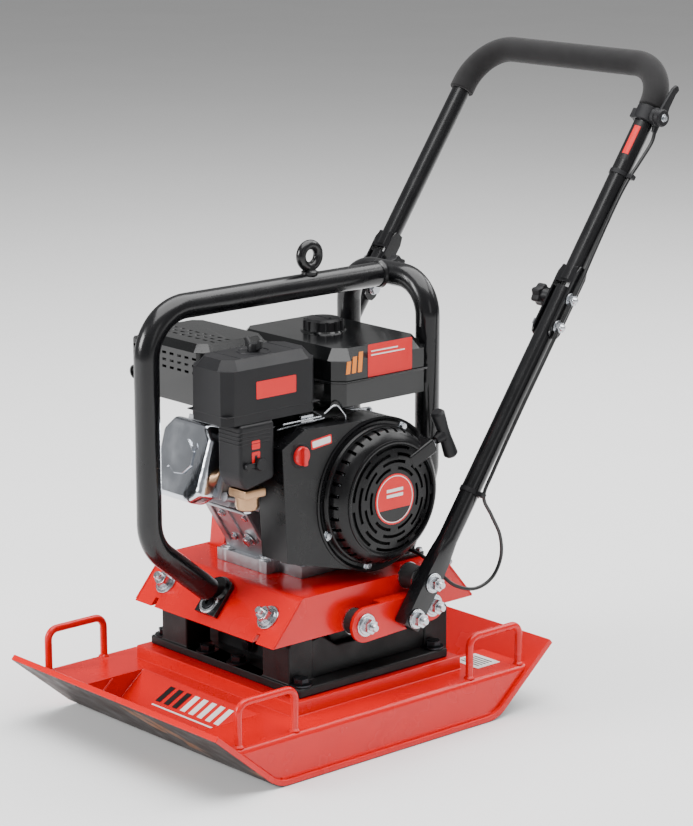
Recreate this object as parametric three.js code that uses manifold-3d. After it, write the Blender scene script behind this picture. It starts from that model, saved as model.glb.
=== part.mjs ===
// A walk-behind plate compactor: a vibrating base plate, an engine deck on rubber mounts,
// a small petrol engine inside a tube cage, and a folding push handle.
// Millimetres. +Z is up, -Y is the front (travel direction), +X is the pull-starter side.
// The origin is the middle of the flat sole.
import * as THREE from "three";
import { mergeVertices } from "three/addons/utils/BufferGeometryUtils.js";
import Module from "manifold-3d";

const wasm = await Module();
wasm.setup();

// ---- driving dimensions -------------------------------------------------------------
const GAP = 0.3; // clearance between pieces that touch

// base
const PLATE_WIDTH = 422;
const SOLE_LENGTH = 378; // flat part of the sole
const RAMP_RUN = 100; // each end's upturn, along Y
const RAMP_RISE = 84;
const PLATE_WALL = 8;
const COVER_WALL = 5;
const COVER_SIDE_INSET = 6; // cover side wall behind the sole's edge
const STRIP_HEIGHT = 62; // top of the two side strips
const PLATFORM_HEIGHT = 80;
const PLATFORM_WIDTH = 320;
const PLATFORM_FRONT = -122;
const PLATFORM_REAR = 168;
const APRON_WIDTH = 236; // sloped plates in front of and behind the platform
const APRON_SLOPE = 40;
const LOOP_ROD = 10; // hand loops
const LOOP_INSET = 16;
const LOOP_NEAR = 150;
const LOOP_FAR = 240;
const LOOP_RISE = 55;
const LOOP_CORNER = 14;

// exciter
const FLANGE_WIDTH = 304;
const FLANGE_FRONT = -104;
const FLANGE_REAR = 152;
const FLANGE_THICKNESS = 12;
const EXCITER_Y = 25;
const EXCITER_LIFT = 66; // shaft axis above the platform
const EXCITER_RADIUS = 50;
const EXCITER_HALF = 98;
const EXCITER_BORE = 38;
const END_WALL = 9; // closed end of the bore
const BEARING_WIDTH = 20;
const EXCITER_SHAFT = 15;
const ECCENTRIC_RADIUS = 33;
const ECCENTRIC_LENGTH = 110;

// deck
const DECK_WIDTH = 280;
const DECK_TOP = 206;
const DECK_WALL = 6;
const DECK_FRONT = -90; // where the top plate bends down
const DECK_REAR = 160;
const DECK_SLANT_RUN = 48;
const DECK_SLANT_DROP = 56;
const MOUNT_X = 103; // rubber mounts
const MOUNT_RADIUS = 20;
const MOUNT_LENGTH = 26;
const PAD_WIDTH = 52;

// engine, about its crankshaft axis
const CRANK_Y = 50;
const CRANK_LIFT = 108; // above the deck
const CRANK_SHAFT = 12.5;
const CASE_LEFT = -60;
const CASE_RIGHT = 75;
const CYLINDER_TILT = 17;
const SHROUD_LEFT = 75;
const SHROUD_RIGHT = 125;
const SHROUD_RADIUS = 101;
const SHROUD_WALL = 3;
const RECOIL_RADIUS = 88;
const RECOIL_DEPTH = 32;
const FLYWHEEL_RADIUS = 78;
const CASE_FOOT = 16; // thickness of the crankcase's foot
const CASE_FRONT = -105; // front of the foot from the crankshaft
const CHIN_RIGHT = 30; // right face of the casting under the cylinder
const CHIN_REACH = 31; // which leans out in front of the foot by this
const CASE_RISE = 76; // crankcase top above the crankshaft
const HEAD = { left: -46, right: 52, base: 84, top: 195, half: 46 }; // along and across the cylinder
const FIN_COUNT = 9;
const FIN_PITCH = 9;
const FIN_REACH = 8; // fins stand this far out of the head
const DUCT = { top: 104, topFront: -120, front: -158, frontTop: 84, bottomFront: -150, bottom: -64 };
const TANK = { left: -104, right: 112, front: -4, rear: 157, bottom: 432, top: 504 };
const TANK_WALL = 3;
const NECK_X = -8;
const NECK_Y = 76;
const NECK_RADIUS = 19;
const NECK_RISE = 8;
const AIRBOX = { left: 36, right: 113, front: -186, rear: -36, bottom: 436, top: 516 };
const ELBOW = {
  left: 72, right: 116, front: -168, mid: -158, rear: -112, frontDrop: 66, midDrop: 84, rearDrop: 74,
};
const CARB = { left: 78, right: 112, front: -157, rear: -122, flange: 12 };
const BOWL = { x: 95, y: -140, radius: 16, height: 24 };
const NUT = { x: 76, y: -112, hub: 8, wing: 16, height: 16 };
const CHOKE = { y: -138, z: 384, hub: 8, length: 24 };
const SWITCH = { y: -78, z: 386, radius: 12, wall: 5, tab: 11 };
const MUFFLER = { left: -126, right: 22, front: -152, rear: -36, bottom: 440, top: 518 };

// belt drive on the left side
const BELT_PLANE = -114;
const PULLEY_WIDTH = 18;
const CLUTCH_RADIUS = 42;
const EXCITER_PULLEY_RADIUS = 36;
const BELT_THICKNESS = 8;
const BELT_WIDTH = 7;
const GROOVE_DEPTH = 10;
const GUARD_WALL = 2.5;
const GUARD_CLEARANCE = 14; // round the pulleys
const GUARD_SIDE_CLEARANCE = 8;

// cage
const CAGE_TUBE = 32;
const CAGE_TOP = 568;
const CAGE_FRONT = -220;
const CAGE_KNEE = 270; // where the front leg turns in to its foot
const CAGE_REAR = 183;
const CAGE_LEG_SPACING = 154;
const CAGE_CORNER = 62;
const CAGE_FOOT = 46;
const EYE_Y = 46;
const EYE_RADIUS = 21;
const EYE_BAR = 13;

// handle
const HANDLE_SLOPE = 55;
const HANDLE_PIVOT = { y: 61, z: 160 };
const HANDLE_SPACING = 356;
const HANDLE_TUBE = 26;
const HANDLE_LENGTH = 815; // pivot to the cross bar
const HANDLE_CORNER = 62;
const FOLD_AT = 424; // fold pivot, along the handle
const LOCK_AT = 464;
const CLEVIS_WALL = 3.2;
const GRIP_OUTER = 17.5;
const ARM_WIDTH = 22;
const ARM_DEPTH = 30;
const ARM_LENGTH = 96;
const BUFFER_RADIUS = 17;
const BRACKET_WALL = 5;
const SHELF_TOP = 182; // top of each handle bracket's shelf
const GRIP_START = 742; // lower end of the foam grip on the left, along the handle
const GRIP_START_RIGHT = 751; // and on the right, above the throttle
const KNOB_RADIUS = 15;
const CABLE_RADIUS = 3;
const ARM_X = 40; // throttle arm's inner face
const ARM_PIVOT = { y: 76, z: 400 };
const PULL_SLOPE = 23; // pull-starter's direction above the horizontal, rearwards
const PULL_FROM = { x: 149, y: 123, z: 373 };
const ROPE_RADIUS = 2;
const ROPE_SHOWN = 7; // length of rope between the cover and the grip
const GRIP_HALF = 34; // half of the starter grip's length

const HALF_SOLE = SOLE_LENGTH / 2;
const HALF_PLATE = PLATE_WIDTH / 2;
const rampAngle = Math.atan2(RAMP_RISE, RAMP_RUN);
const crankZ = DECK_TOP + CRANK_LIFT;
const exciterZ = PLATFORM_HEIGHT + EXCITER_LIFT;

// ---- finishes -----------------------------------------------------------------------
const finish = (color, roughness, metalness) =>
  new THREE.MeshStandardMaterial({ color, roughness, metalness });
const RED = finish(0xd0161b, 0.3, 0);
const BLACK_PAINT = finish(0x141416, 0.35, 0);
const BLACK_PLASTIC = finish(0x1a1a1c, 0.5, 0);
const RUBBER = finish(0x2a2a2b, 0.8, 0);
const ALLOY = finish(0x9a9a9c, 0.45, 1);
const STEEL = finish(0xb4b4b8, 0.35, 1);
const CHROME = finish(0xd8d8dc, 0.15, 1);
const BRASS = finish(0xb08b4a, 0.4, 1);
const FOAM = finish(0x222223, 0.95, 0);
const RED_PLASTIC = finish(0xc01818, 0.4, 0);

// ---- helpers ------------------------------------------------------------------------
const radians = THREE.MathUtils.degToRad;

// A closed geometry as a solid, to cut and join.
function solid(geometry) {
  const g = geometry.clone();
  g.deleteAttribute("normal");
  g.deleteAttribute("uv");
  const merged = mergeVertices(g, 1e-4);
  return new wasm.Manifold(
    new wasm.Mesh({
      numProp: 3,
      vertProperties: new Float32Array(merged.attributes.position.array),
      triVerts: new Uint32Array(merged.index.array),
    }),
  );
}

function geometryOf(shape) {
  const mesh = shape.getMesh();
  const g = new THREE.BufferGeometry();
  g.setAttribute("position", new THREE.BufferAttribute(mesh.vertProperties, 3));
  g.setIndex(new THREE.BufferAttribute(mesh.triVerts, 1));
  const flat = g.toNonIndexed();
  flat.computeVertexNormals();
  return flat;
}

const join = (...shapes) => shapes.reduce((a, b) => a.add(b));
const cut = (shape, ...tools) => tools.reduce((a, b) => a.subtract(b), shape);

function block(x0, x1, y0, y1, z0, z1) {
  const g = new THREE.BoxGeometry(x1 - x0, y1 - y0, z1 - z0);
  return solid(g.translate((x0 + x1) / 2, (y0 + y1) / 2, (z0 + z1) / 2));
}

// A round bar or disc along one axis, from a to b on that axis.
function round(axis, radius, a, b, centre, sides = 24, endRadius = radius) {
  const g = new THREE.CylinderGeometry(endRadius, radius, b - a, sides);
  g.translate(0, (a + b) / 2, 0);
  if (axis === "x") g.rotateZ(-Math.PI / 2).translate(0, centre[0], centre[1]);
  if (axis === "y") g.translate(centre[0], 0, centre[1]);
  if (axis === "z") g.rotateX(Math.PI / 2).translate(centre[0], centre[1], 0);
  return solid(g);
}

// An outline in the YZ plane, pushed along X from x0 to x1.
function prism(shape, x0, x1, curveSegments = 10) {
  const depth = x1 - x0;
  const g = new THREE.ExtrudeGeometry(shape, { depth, bevelEnabled: false, curveSegments });
  g.applyMatrix4(new THREE.Matrix4().makeBasis(
    new THREE.Vector3(0, 1, 0),
    new THREE.Vector3(0, 0, 1),
    new THREE.Vector3(1, 0, 0),
  ));
  return solid(g.translate(x0, 0, 0));
}

const outline = (points) => new THREE.Shape(points.map(([a, b]) => new THREE.Vector2(a, b)));

// The outline of two circles and the straight sides that touch both.
function capsule(y0, z0, r0, y1, z1, r1, steps = 12) {
  const along = Math.atan2(z1 - z0, y1 - y0);
  const lean = Math.acos((r0 - r1) / Math.hypot(y1 - y0, z1 - z0));
  const points = [];
  for (let i = 0; i <= steps; i++) {
    const a = along + lean + ((2 * Math.PI - 2 * lean) * i) / steps;
    points.push([y0 + r0 * Math.cos(a), z0 + r0 * Math.sin(a)]);
  }
  for (let i = 0; i <= steps; i++) {
    const a = along - lean + (2 * lean * i) / steps;
    points.push([y1 + r1 * Math.cos(a), z1 + r1 * Math.sin(a)]);
  }
  return outline(points);
}

// A box with cut corners all round its plan, and a narrower top.
function chamferedBox(b, corner, topInset, topDrop) {
  const plan = (inset) => {
    const [x0, x1, y0, y1] = [b.left + inset, b.right - inset, b.front + inset, b.rear - inset];
    return outline([
      [x0 + corner, y0], [x1 - corner, y0], [x1, y0 + corner], [x1, y1 - corner],
      [x1 - corner, y1], [x0 + corner, y1], [x0, y1 - corner], [x0, y0 + corner],
    ]);
  };
  const edge = b.top - topDrop;
  const sheet = 0.01; // the thin middle that the lid's two slopes grow from
  const wide = new THREE.ExtrudeGeometry(plan(0), { depth: edge - b.bottom, bevelEnabled: false });
  const lid = new THREE.ExtrudeGeometry(plan(topInset), {
    depth: sheet, bevelThickness: topDrop - sheet, bevelSize: topInset, bevelSegments: 1,
  });
  const lower = solid(wide.translate(0, 0, b.bottom));
  const upper = solid(lid.translate(0, 0, edge));
  const keep = block(b.left - 1, b.right + 1, b.front - 1, b.rear + 1, b.bottom, b.top);
  return join(lower, upper).intersect(keep);
}

// Points of a path whose corners are rounded, as a curve to sweep along.
function roundedPath(corners, radius) {
  const path = new THREE.CurvePath();
  let from = corners[0];
  for (let i = 1; i < corners.length - 1; i++) {
    const [a, c, b] = [corners[i - 1], corners[i], corners[i + 1]];
    const into = c.clone().sub(a).normalize();
    const out = b.clone().sub(c).normalize();
    const turn = into.angleTo(out);
    const back = radius * Math.tan(turn / 2);
    const start = c.clone().addScaledVector(into, -back);
    const end = c.clone().addScaledVector(out, back);
    const side = out.clone().addScaledVector(into, -into.dot(out)).normalize();
    const hub = start.clone().addScaledVector(side, radius);
    path.add(new THREE.LineCurve3(from, start));
    path.add(new Arc(hub, start.clone().sub(hub), into, turn));
    from = end;
  }
  path.add(new THREE.LineCurve3(from, corners[corners.length - 1]));
  return path;
}

class Arc extends THREE.Curve {
  constructor(hub, arm, heading, turn) {
    super();
    Object.assign(this, { hub, arm, heading, turn });
  }
  getPoint(t, target = new THREE.Vector3()) {
    const a = this.turn * t;
    target.copy(this.hub).addScaledVector(this.arm, Math.cos(a));
    return target.addScaledVector(this.heading, this.arm.length() * Math.sin(a));
  }
}

// A straight-and-bent run of tube or rod: only its corners get steps.
function bentTube(corners, radius, bend, sides = 12, steps = 6) {
  const path = roundedPath(corners, bend);
  const spine = [];
  path.curves.forEach((c, i) => {
    const n = c instanceof Arc ? steps : 1;
    for (let k = i ? 1 : 0; k <= n; k++) spine.push(c.getPoint(k / n));
  });
  return sweep(spine, radius, sides);
}

// A round section carried along a list of points.
function sweep(spine, radius, sides) {
  const curve = new Polyline(spine);
  const section = new THREE.Shape();
  section.absarc(0, 0, radius, 0, 2 * Math.PI);
  const g = new THREE.ExtrudeGeometry(section, {
    steps: spine.length - 1, extrudePath: curve, curveSegments: sides / 2, bevelEnabled: false,
  });
  return solid(g);
}

// A curve through given points, whose even steps land on them.
class Polyline extends THREE.Curve {
  constructor(points) {
    super();
    this.points = points;
  }
  getPoint(t, target = new THREE.Vector3()) {
    const last = this.points.length - 1;
    const i = Math.min(Math.floor(t * last), last - 1);
    return target.lerpVectors(this.points[i], this.points[i + 1], t * last - i);
  }
  getPointAt(t, target) {
    return this.getPoint(t, target);
  }
  getTangent(t, target = new THREE.Vector3()) {
    const last = this.points.length - 1;
    const i = Math.round(t * last);
    const a = this.points[Math.max(i - 1, 0)];
    const b = this.points[Math.min(i + 1, last)];
    return target.copy(b).sub(a).normalize();
  }
  getTangentAt(t, target) {
    return this.getTangent(t, target);
  }
}

const at = (x, y, z) => new THREE.Vector3(x, y, z);

const bothSides = [["left", -1], ["right", 1]];
// a stretch along X, from a to b on the right side, mirrored for the left side
const mirrored = (side, a, b) => (side > 0 ? [a, b] : [-b, -a]);

function piece(parent, name, shape, material) {
  const mesh = new THREE.Mesh(geometryOf(shape), material);
  mesh.name = name;
  parent.add(mesh);
  return mesh;
}

const group = new THREE.Group();

// ---- base plate ---------------------------------------------------------------------
// All the space above the bent sole plate, from `lift` over its outer surface.
const OUTSIDE = 400; // beyond every edge of the plate
const shift = (lift) => lift * Math.tan(rampAngle / 2);
function aboveSole(lift, x0, x1) {
  const rise = OUTSIDE * Math.tan(rampAngle);
  const y = HALF_SOLE - shift(lift);
  const space = [[-y, lift], [y, lift], [y + OUTSIDE, lift + rise], [-y - OUTSIDE, lift + rise]];
  return prism(outline(space), x0, x1);
}

const tipY = HALF_SOLE + RAMP_RUN;
const innerTipY = tipY - PLATE_WALL * Math.sin(rampAngle);
const innerTipZ = RAMP_RISE + PLATE_WALL * Math.cos(rampAngle);
const innerBend = HALF_SOLE - shift(PLATE_WALL);
piece(group, "base_pan", prism(outline([
  [-HALF_SOLE, 0], [HALF_SOLE, 0], [tipY, RAMP_RISE], [innerTipY, innerTipZ],
  [innerBend, PLATE_WALL], [-innerBend, PLATE_WALL], [-innerTipY, innerTipZ], [-tipY, RAMP_RISE],
]), -HALF_PLATE, HALF_PLATE), RED);

// The welded cover over the sole: side strips, a raised platform, and a sloped apron at each end.
function coverShape(inset, floor) {
  const side = HALF_PLATE - COVER_SIDE_INSET - inset;
  const strips = block(-side, side, -tipY, tipY, floor, STRIP_HEIGHT - inset);
  const platform = block(
    -PLATFORM_WIDTH / 2 + inset, PLATFORM_WIDTH / 2 - inset,
    PLATFORM_FRONT + inset, PLATFORM_REAR - inset, floor, PLATFORM_HEIGHT - inset,
  );
  return join(strips, platform);
}

// The space over one apron: beyond the platform's edge `bend` and above the slope that falls from it.
const apronRun = PLATFORM_HEIGHT / Math.tan(radians(APRON_SLOPE));
function overApron(bend, end, halfWidth) {
  return prism(outline([
    [bend, PLATFORM_HEIGHT], [bend + end * apronRun, 0], [end * OUTSIDE, 0],
    [end * OUTSIDE, OUTSIDE], [bend, OUTSIDE],
  ]), -halfWidth, halfWidth);
}
const apronHalf = APRON_WIDTH / 2;
const wallShift = COVER_WALL / Math.sin(radians(APRON_SLOPE));
const coverOuter = cut(
  coverShape(0, -1),
  overApron(PLATFORM_FRONT, -1, apronHalf),
  overApron(PLATFORM_REAR, 1, apronHalf),
);
const coverInner = cut(
  coverShape(COVER_WALL, -2),
  overApron(PLATFORM_FRONT + wallShift, -1, apronHalf + COVER_WALL),
  overApron(PLATFORM_REAR - wallShift, 1, apronHalf + COVER_WALL),
);
const coverRoom = aboveSole(PLATE_WALL + GAP, -HALF_PLATE, HALF_PLATE);
piece(group, "base_cover", cut(coverOuter, coverInner).intersect(coverRoom), RED);

// ---- hand loops ---------------------------------------------------------------------
const loopX = HALF_PLATE - LOOP_INSET;
for (const [sideName, side] of bothSides) {
  for (const [endName, end] of [["front", -1], ["rear", 1]]) {
    const [foot, top] = [STRIP_HEIGHT + GAP, STRIP_HEIGHT + LOOP_RISE];
    const corners = [
      at(side * loopX, end * LOOP_NEAR, foot), at(side * loopX, end * LOOP_NEAR, top),
      at(side * loopX, end * LOOP_FAR, top), at(side * loopX, end * LOOP_FAR, foot),
    ];
    piece(group, `lift_loop_${endName}_${sideName}`, bentTube(corners, LOOP_ROD / 2, LOOP_CORNER, 8, 4), RED);
  }
}

// ---- deck slants, shared by the deck and the mounts -----------------------------------
const slantLength = Math.hypot(DECK_SLANT_RUN, DECK_SLANT_DROP);
function slant(end) {
  const bend = end < 0 ? DECK_FRONT : DECK_REAR;
  const down = [(end * DECK_SLANT_RUN) / slantLength, -DECK_SLANT_DROP / slantLength];
  const normal = [(end * DECK_SLANT_DROP) / slantLength, DECK_SLANT_RUN / slantLength];
  const middle = [bend + down[0] * slantLength / 2, DECK_TOP + down[1] * slantLength / 2];
  // a point given along the slant from its middle, and in from its outer face
  const point = (along, depth) => [
    middle[0] + down[0] * along - normal[0] * depth,
    middle[1] + down[1] * along - normal[1] * depth,
  ];
  return { end, bend, down, normal, middle, point };
}
const [front, rear] = [slant(-1), slant(1)];

// ---- exciter ------------------------------------------------------------------------
const exciter = new THREE.Group();
group.add(exciter);
const flangeZ = PLATFORM_HEIGHT + GAP;
const flangeTop = flangeZ + FLANGE_THICKNESS;
const flange = block(-FLANGE_WIDTH / 2, FLANGE_WIDTH / 2, FLANGE_FRONT, FLANGE_REAR, flangeZ, flangeTop);
const axle = [EXCITER_Y, exciterZ];
const saddle = EXCITER_RADIUS - 10; // half width of the block that carries the barrel
const barrel = join(
  round("x", EXCITER_RADIUS, -EXCITER_HALF, EXCITER_HALF + END_WALL, axle, 32),
  block(-EXCITER_HALF, EXCITER_HALF + END_WALL, EXCITER_Y - saddle, EXCITER_Y + saddle, flangeZ, exciterZ),
);
// a slanted pad below each rubber mount
const padDepth = DECK_WALL + MOUNT_LENGTH + 2 * GAP;
const padHalf = MOUNT_RADIUS + 1; // along the slant
const padWall = 14;
function pad(s, side) {
  const x = side * MOUNT_X;
  const low = s.point(padHalf, padDepth);
  const high = s.point(-padHalf, padDepth);
  const back = high[0] - s.end * padWall;
  const section = [low, high, [back, high[1]], [back, flangeZ], [low[0], flangeZ]];
  return prism(outline(section), x - PAD_WIDTH / 2, x + PAD_WIDTH / 2);
}
const pads = [front, rear].flatMap((s) => [pad(s, -1), pad(s, 1)]);
const bore = round("x", EXCITER_BORE, -EXCITER_HALF - 1, EXCITER_HALF, axle, 32);
piece(exciter, "exciter_housing", cut(join(flange, barrel, ...pads), bore), BLACK_PAINT);

const pulleyOuter = BELT_PLANE - PULLEY_WIDTH / 2;
const shaftEnd = pulleyOuter - 3; // both shafts stand just out of their pulleys
const ringX = (outer, inner, a, b, centre, sides = 28) => cut(
  round("x", outer, a, b, centre, sides),
  round("x", inner, a - 1, b + 1, centre, sides),
);
piece(exciter, "exciter_shaft", round("x", EXCITER_SHAFT, shaftEnd, EXCITER_HALF - GAP, axle, 20), STEEL);
const weightRing = ringX(
  ECCENTRIC_RADIUS, EXCITER_SHAFT + GAP, -ECCENTRIC_LENGTH / 2, ECCENTRIC_LENGTH / 2, axle);
const lightSide = block(
  -ECCENTRIC_LENGTH, ECCENTRIC_LENGTH, EXCITER_Y - ECCENTRIC_RADIUS - 1, EXCITER_Y + ECCENTRIC_RADIUS + 1,
  exciterZ + ECCENTRIC_RADIUS / 4, exciterZ + ECCENTRIC_RADIUS + 1,
);
piece(exciter, "eccentric_weight", cut(weightRing, lightSide), STEEL);
const bearingEnd = EXCITER_HALF - GAP;
for (const [sideName, side] of bothSides) {
  const [a, b] = mirrored(side, bearingEnd - BEARING_WIDTH, bearingEnd);
  const race = ringX(EXCITER_BORE - GAP, EXCITER_SHAFT + GAP, a, b, axle);
  piece(exciter, `exciter_bearing_${sideName}`, race, STEEL);
}

// A V-grooved wheel on a shaft along X.
function pulley(radius, hole, centre) {
  const half = PULLEY_WIDTH / 2;
  const floor = radius - GROOVE_DEPTH;
  const [rim, grooveHalf] = [3, BELT_WIDTH / 2 + 0.5];
  const profile = [
    [hole, -half], [radius, -half], [radius, -half + rim], [floor, -grooveHalf],
    [floor, grooveHalf], [radius, half - rim], [radius, half], [hole, half], [hole, -half],
  ].map(([r, h]) => new THREE.Vector2(r, h));
  const g = new THREE.LatheGeometry(profile, 32);
  return solid(g.rotateZ(-Math.PI / 2).translate(BELT_PLANE, centre[0], centre[1]));
}
piece(exciter, "exciter_pulley", pulley(EXCITER_PULLEY_RADIUS, EXCITER_SHAFT + GAP, axle), BLACK_PAINT);

const crank = [CRANK_Y, crankZ];
const beltSeat = GROOVE_DEPTH - BELT_THICKNESS + GAP;
const beltOuter = (r) => r - beltSeat + GAP;
const beltLoop = (extra) => capsule(
  ...crank, beltOuter(CLUTCH_RADIUS) + extra, ...axle, beltOuter(EXCITER_PULLEY_RADIUS) + extra, 16);
piece(exciter, "drive_belt", cut(
  prism(beltLoop(0), BELT_PLANE - BELT_WIDTH / 2, BELT_PLANE + BELT_WIDTH / 2),
  prism(beltLoop(-BELT_THICKNESS + 2 * GAP), BELT_PLANE - BELT_WIDTH, BELT_PLANE + BELT_WIDTH),
), RUBBER);

// ---- deck ---------------------------------------------------------------------------
const deckLow = DECK_TOP - DECK_SLANT_DROP;
const deckOutside = outline([
  [DECK_FRONT - DECK_SLANT_RUN, deckLow], [DECK_REAR + DECK_SLANT_RUN, deckLow],
  [DECK_REAR, DECK_TOP], [DECK_FRONT, DECK_TOP],
]);
const bendShift = DECK_WALL * Math.tan(Math.atan2(DECK_SLANT_DROP, DECK_SLANT_RUN) / 2);
const slantShift = (DECK_WALL * slantLength) / DECK_SLANT_DROP;
const below = 20; // how far the inside cut runs on past the lower edge
const lowRun = DECK_SLANT_RUN - slantShift + (below * DECK_SLANT_RUN) / DECK_SLANT_DROP;
const deckInside = outline([
  [DECK_FRONT - lowRun, deckLow - below], [DECK_REAR + lowRun, deckLow - below],
  [DECK_REAR - bendShift, DECK_TOP - DECK_WALL], [DECK_FRONT + bendShift, DECK_TOP - DECK_WALL],
]);
const guardOutline = (extra) => capsule(
  ...crank, CLUTCH_RADIUS + GUARD_CLEARANCE + extra,
  ...axle, EXCITER_PULLEY_RADIUS + GUARD_CLEARANCE + extra, 14);
const guardInner = -EXCITER_HALF - 3;
const guardOuter = pulleyOuter - GUARD_SIDE_CLEARANCE;
const deckHalf = DECK_WIDTH / 2;
piece(group, "engine_deck", cut(
  prism(deckOutside, -deckHalf, deckHalf),
  prism(deckInside, -deckHalf + DECK_WALL, deckHalf - DECK_WALL),
  prism(guardOutline(2), -deckHalf + DECK_WALL + 0.2, guardInner + 2),
), RED);

for (const [endName, s] of [["front", front], ["rear", rear]]) {
  for (const [sideName, side] of bothSides) {
    const g = new THREE.CylinderGeometry(MOUNT_RADIUS, MOUNT_RADIUS, MOUNT_LENGTH, 20);
    const mesh = piece(group, `shock_mount_${endName}_${sideName}`, solid(g), RUBBER);
    const [y, z] = s.point(0, DECK_WALL + GAP + MOUNT_LENGTH / 2);
    mesh.position.set(side * MOUNT_X, y, z);
    mesh.quaternion.setFromUnitVectors(at(0, 1, 0), at(0, s.normal[0], s.normal[1]));
  }
}

// ---- engine -------------------------------------------------------------------------
const engine = new THREE.Group();
group.add(engine);
const seat = DECK_TOP + GAP;
const caseTop = crankZ + CASE_RISE;
const caseRight = CASE_RIGHT - GAP;
const shaftHole = round("x", CRANK_SHAFT + GAP, -PLATE_WIDTH / 2, PLATE_WIDTH / 2, crank, 20);
const caseFoot = join(
  block(CASE_LEFT - 10, caseRight, CRANK_Y - 84, CRANK_Y + 60, seat, seat + CASE_FOOT),
  block(CASE_LEFT - 10, CHIN_RIGHT, CRANK_Y + CASE_FRONT, CRANK_Y, seat, seat + CASE_FOOT),
);
const armPost = block(
  ARM_X - 22, ARM_X - GAP, ARM_PIVOT.y - 14, ARM_PIVOT.y + 12, caseTop - 6, ARM_PIVOT.z + 8);
const caseBody = prism(outline([
  [CRANK_Y - 66, seat + 10], [CRANK_Y + 56, seat + 10], [CRANK_Y + 72, crankZ - 20],
  [CRANK_Y + 66, crankZ + 50], [CRANK_Y + 30, caseTop], [CRANK_Y - 46, caseTop],
  [CRANK_Y - 74, crankZ + 20],
]), CASE_LEFT, caseRight);
const chinFront = CRANK_Y + CASE_FRONT;
const chin = prism(outline([
  [CRANK_Y - 40, seat + 10], [chinFront + 10, seat + 10], [chinFront + 5, seat + 30],
  [chinFront - CHIN_REACH, crankZ - 20], [chinFront - CHIN_REACH + 8, crankZ - 19],
  [CRANK_Y - 98, crankZ - 30], [CRANK_Y - 40, crankZ - 30],
]), CASE_LEFT, CHIN_RIGHT);
piece(engine, "crankcase", cut(join(caseFoot, armPost, caseBody, chin), shaftHole), ALLOY);

// the cylinder leans forward: its own frame has -Y along the cylinder axis
const cylinder = new THREE.Group();
cylinder.position.set(0, CRANK_Y, crankZ);
cylinder.rotation.x = -radians(CYLINDER_TILT);
engine.add(cylinder);
const headBody = block(HEAD.left, HEAD.right, -HEAD.top, -HEAD.base, -HEAD.half, HEAD.half - 6);
const fins = [];
for (let i = 0; i < FIN_COUNT; i++) {
  const y = -HEAD.base - 6 - i * FIN_PITCH;
  const [left, right] = [HEAD.left - FIN_REACH, HEAD.right + FIN_REACH];
  fins.push(block(left, right, y - 2, y + 2, -HEAD.half - 6, HEAD.half + 2));
}
piece(cylinder, "cylinder_head", join(headBody, ...fins), ALLOY);
const domeEdge = { thickness: 8, size: 6 };
const dome = new THREE.ExtrudeGeometry(outline([
  [-42, -38], [-27, -48], [27, -48], [42, -38], [44, 28], [31, 42], [-31, 42], [-44, 28],
]), { depth: 16, bevelThickness: domeEdge.thickness, bevelSize: domeEdge.size, bevelSegments: 2 });
dome.rotateX(Math.PI / 2).translate(2, -HEAD.top - GAP - domeEdge.thickness, -4);
piece(cylinder, "rocker_cover", solid(dome), CHROME);

const shroudOutline = (inset) => outline([
  ...arcPoints(CRANK_Y, crankZ, SHROUD_RADIUS - inset, -112, 100, 20),
  [CRANK_Y + DUCT.topFront + inset, crankZ + DUCT.top - inset],
  [CRANK_Y + DUCT.front + inset, crankZ + DUCT.frontTop - inset],
  [CRANK_Y + DUCT.bottomFront + inset, crankZ + DUCT.bottom + inset],
]);
function arcPoints(y, z, r, from, to, steps) {
  const points = [];
  for (let i = 0; i <= steps; i++) {
    const a = radians(from + ((to - from) * i) / steps);
    points.push([y + r * Math.cos(a), z + r * Math.sin(a)]);
  }
  return points;
}
piece(engine, "blower_housing", cut(
  prism(shroudOutline(0), SHROUD_LEFT, SHROUD_RIGHT),
  prism(shroudOutline(SHROUD_WALL), SHROUD_LEFT - 1, SHROUD_RIGHT - SHROUD_WALL),
  round("x", FLYWHEEL_RADIUS - 12, SHROUD_LEFT, SHROUD_RIGHT + 1, crank, 32),
), BLACK_PLASTIC);

// a rectangle lying along the pull direction, from a to b, in the YZ plane
const pull = radians(PULL_SLOPE);
function pullOutline(a, b, half) {
  const corner = (d, h) => [
    PULL_FROM.y + d * Math.cos(pull) - h * Math.sin(pull),
    PULL_FROM.z + d * Math.sin(pull) + h * Math.cos(pull),
  ];
  return outline([corner(a, -half), corner(b, -half), corner(b, half), corner(a, half)]);
}
const RECOIL_WALL = 3;
const recoilSeat = SHROUD_RIGHT + GAP;
function recoilShape(r, h, x) {
  const profile = [[0, 0], [r, 0], [r, h - 12], [r - 14, h - 3], [r * 0.55, h], [0, h]];
  const g = new THREE.LatheGeometry(profile.map(([a, b]) => new THREE.Vector2(a, b)), 40);
  return solid(g.rotateZ(-Math.PI / 2).translate(x, CRANK_Y, crankZ));
}
const ropeOutlet = prism(pullOutline(-50, -GAP, 10), recoilSeat, PULL_FROM.x + 9);
piece(engine, "recoil_cover", cut(
  join(recoilShape(RECOIL_RADIUS, RECOIL_DEPTH, recoilSeat), ropeOutlet),
  recoilShape(RECOIL_RADIUS - RECOIL_WALL, RECOIL_DEPTH - RECOIL_WALL, recoilSeat - 0.05),
), BLACK_PLASTIC);

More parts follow.
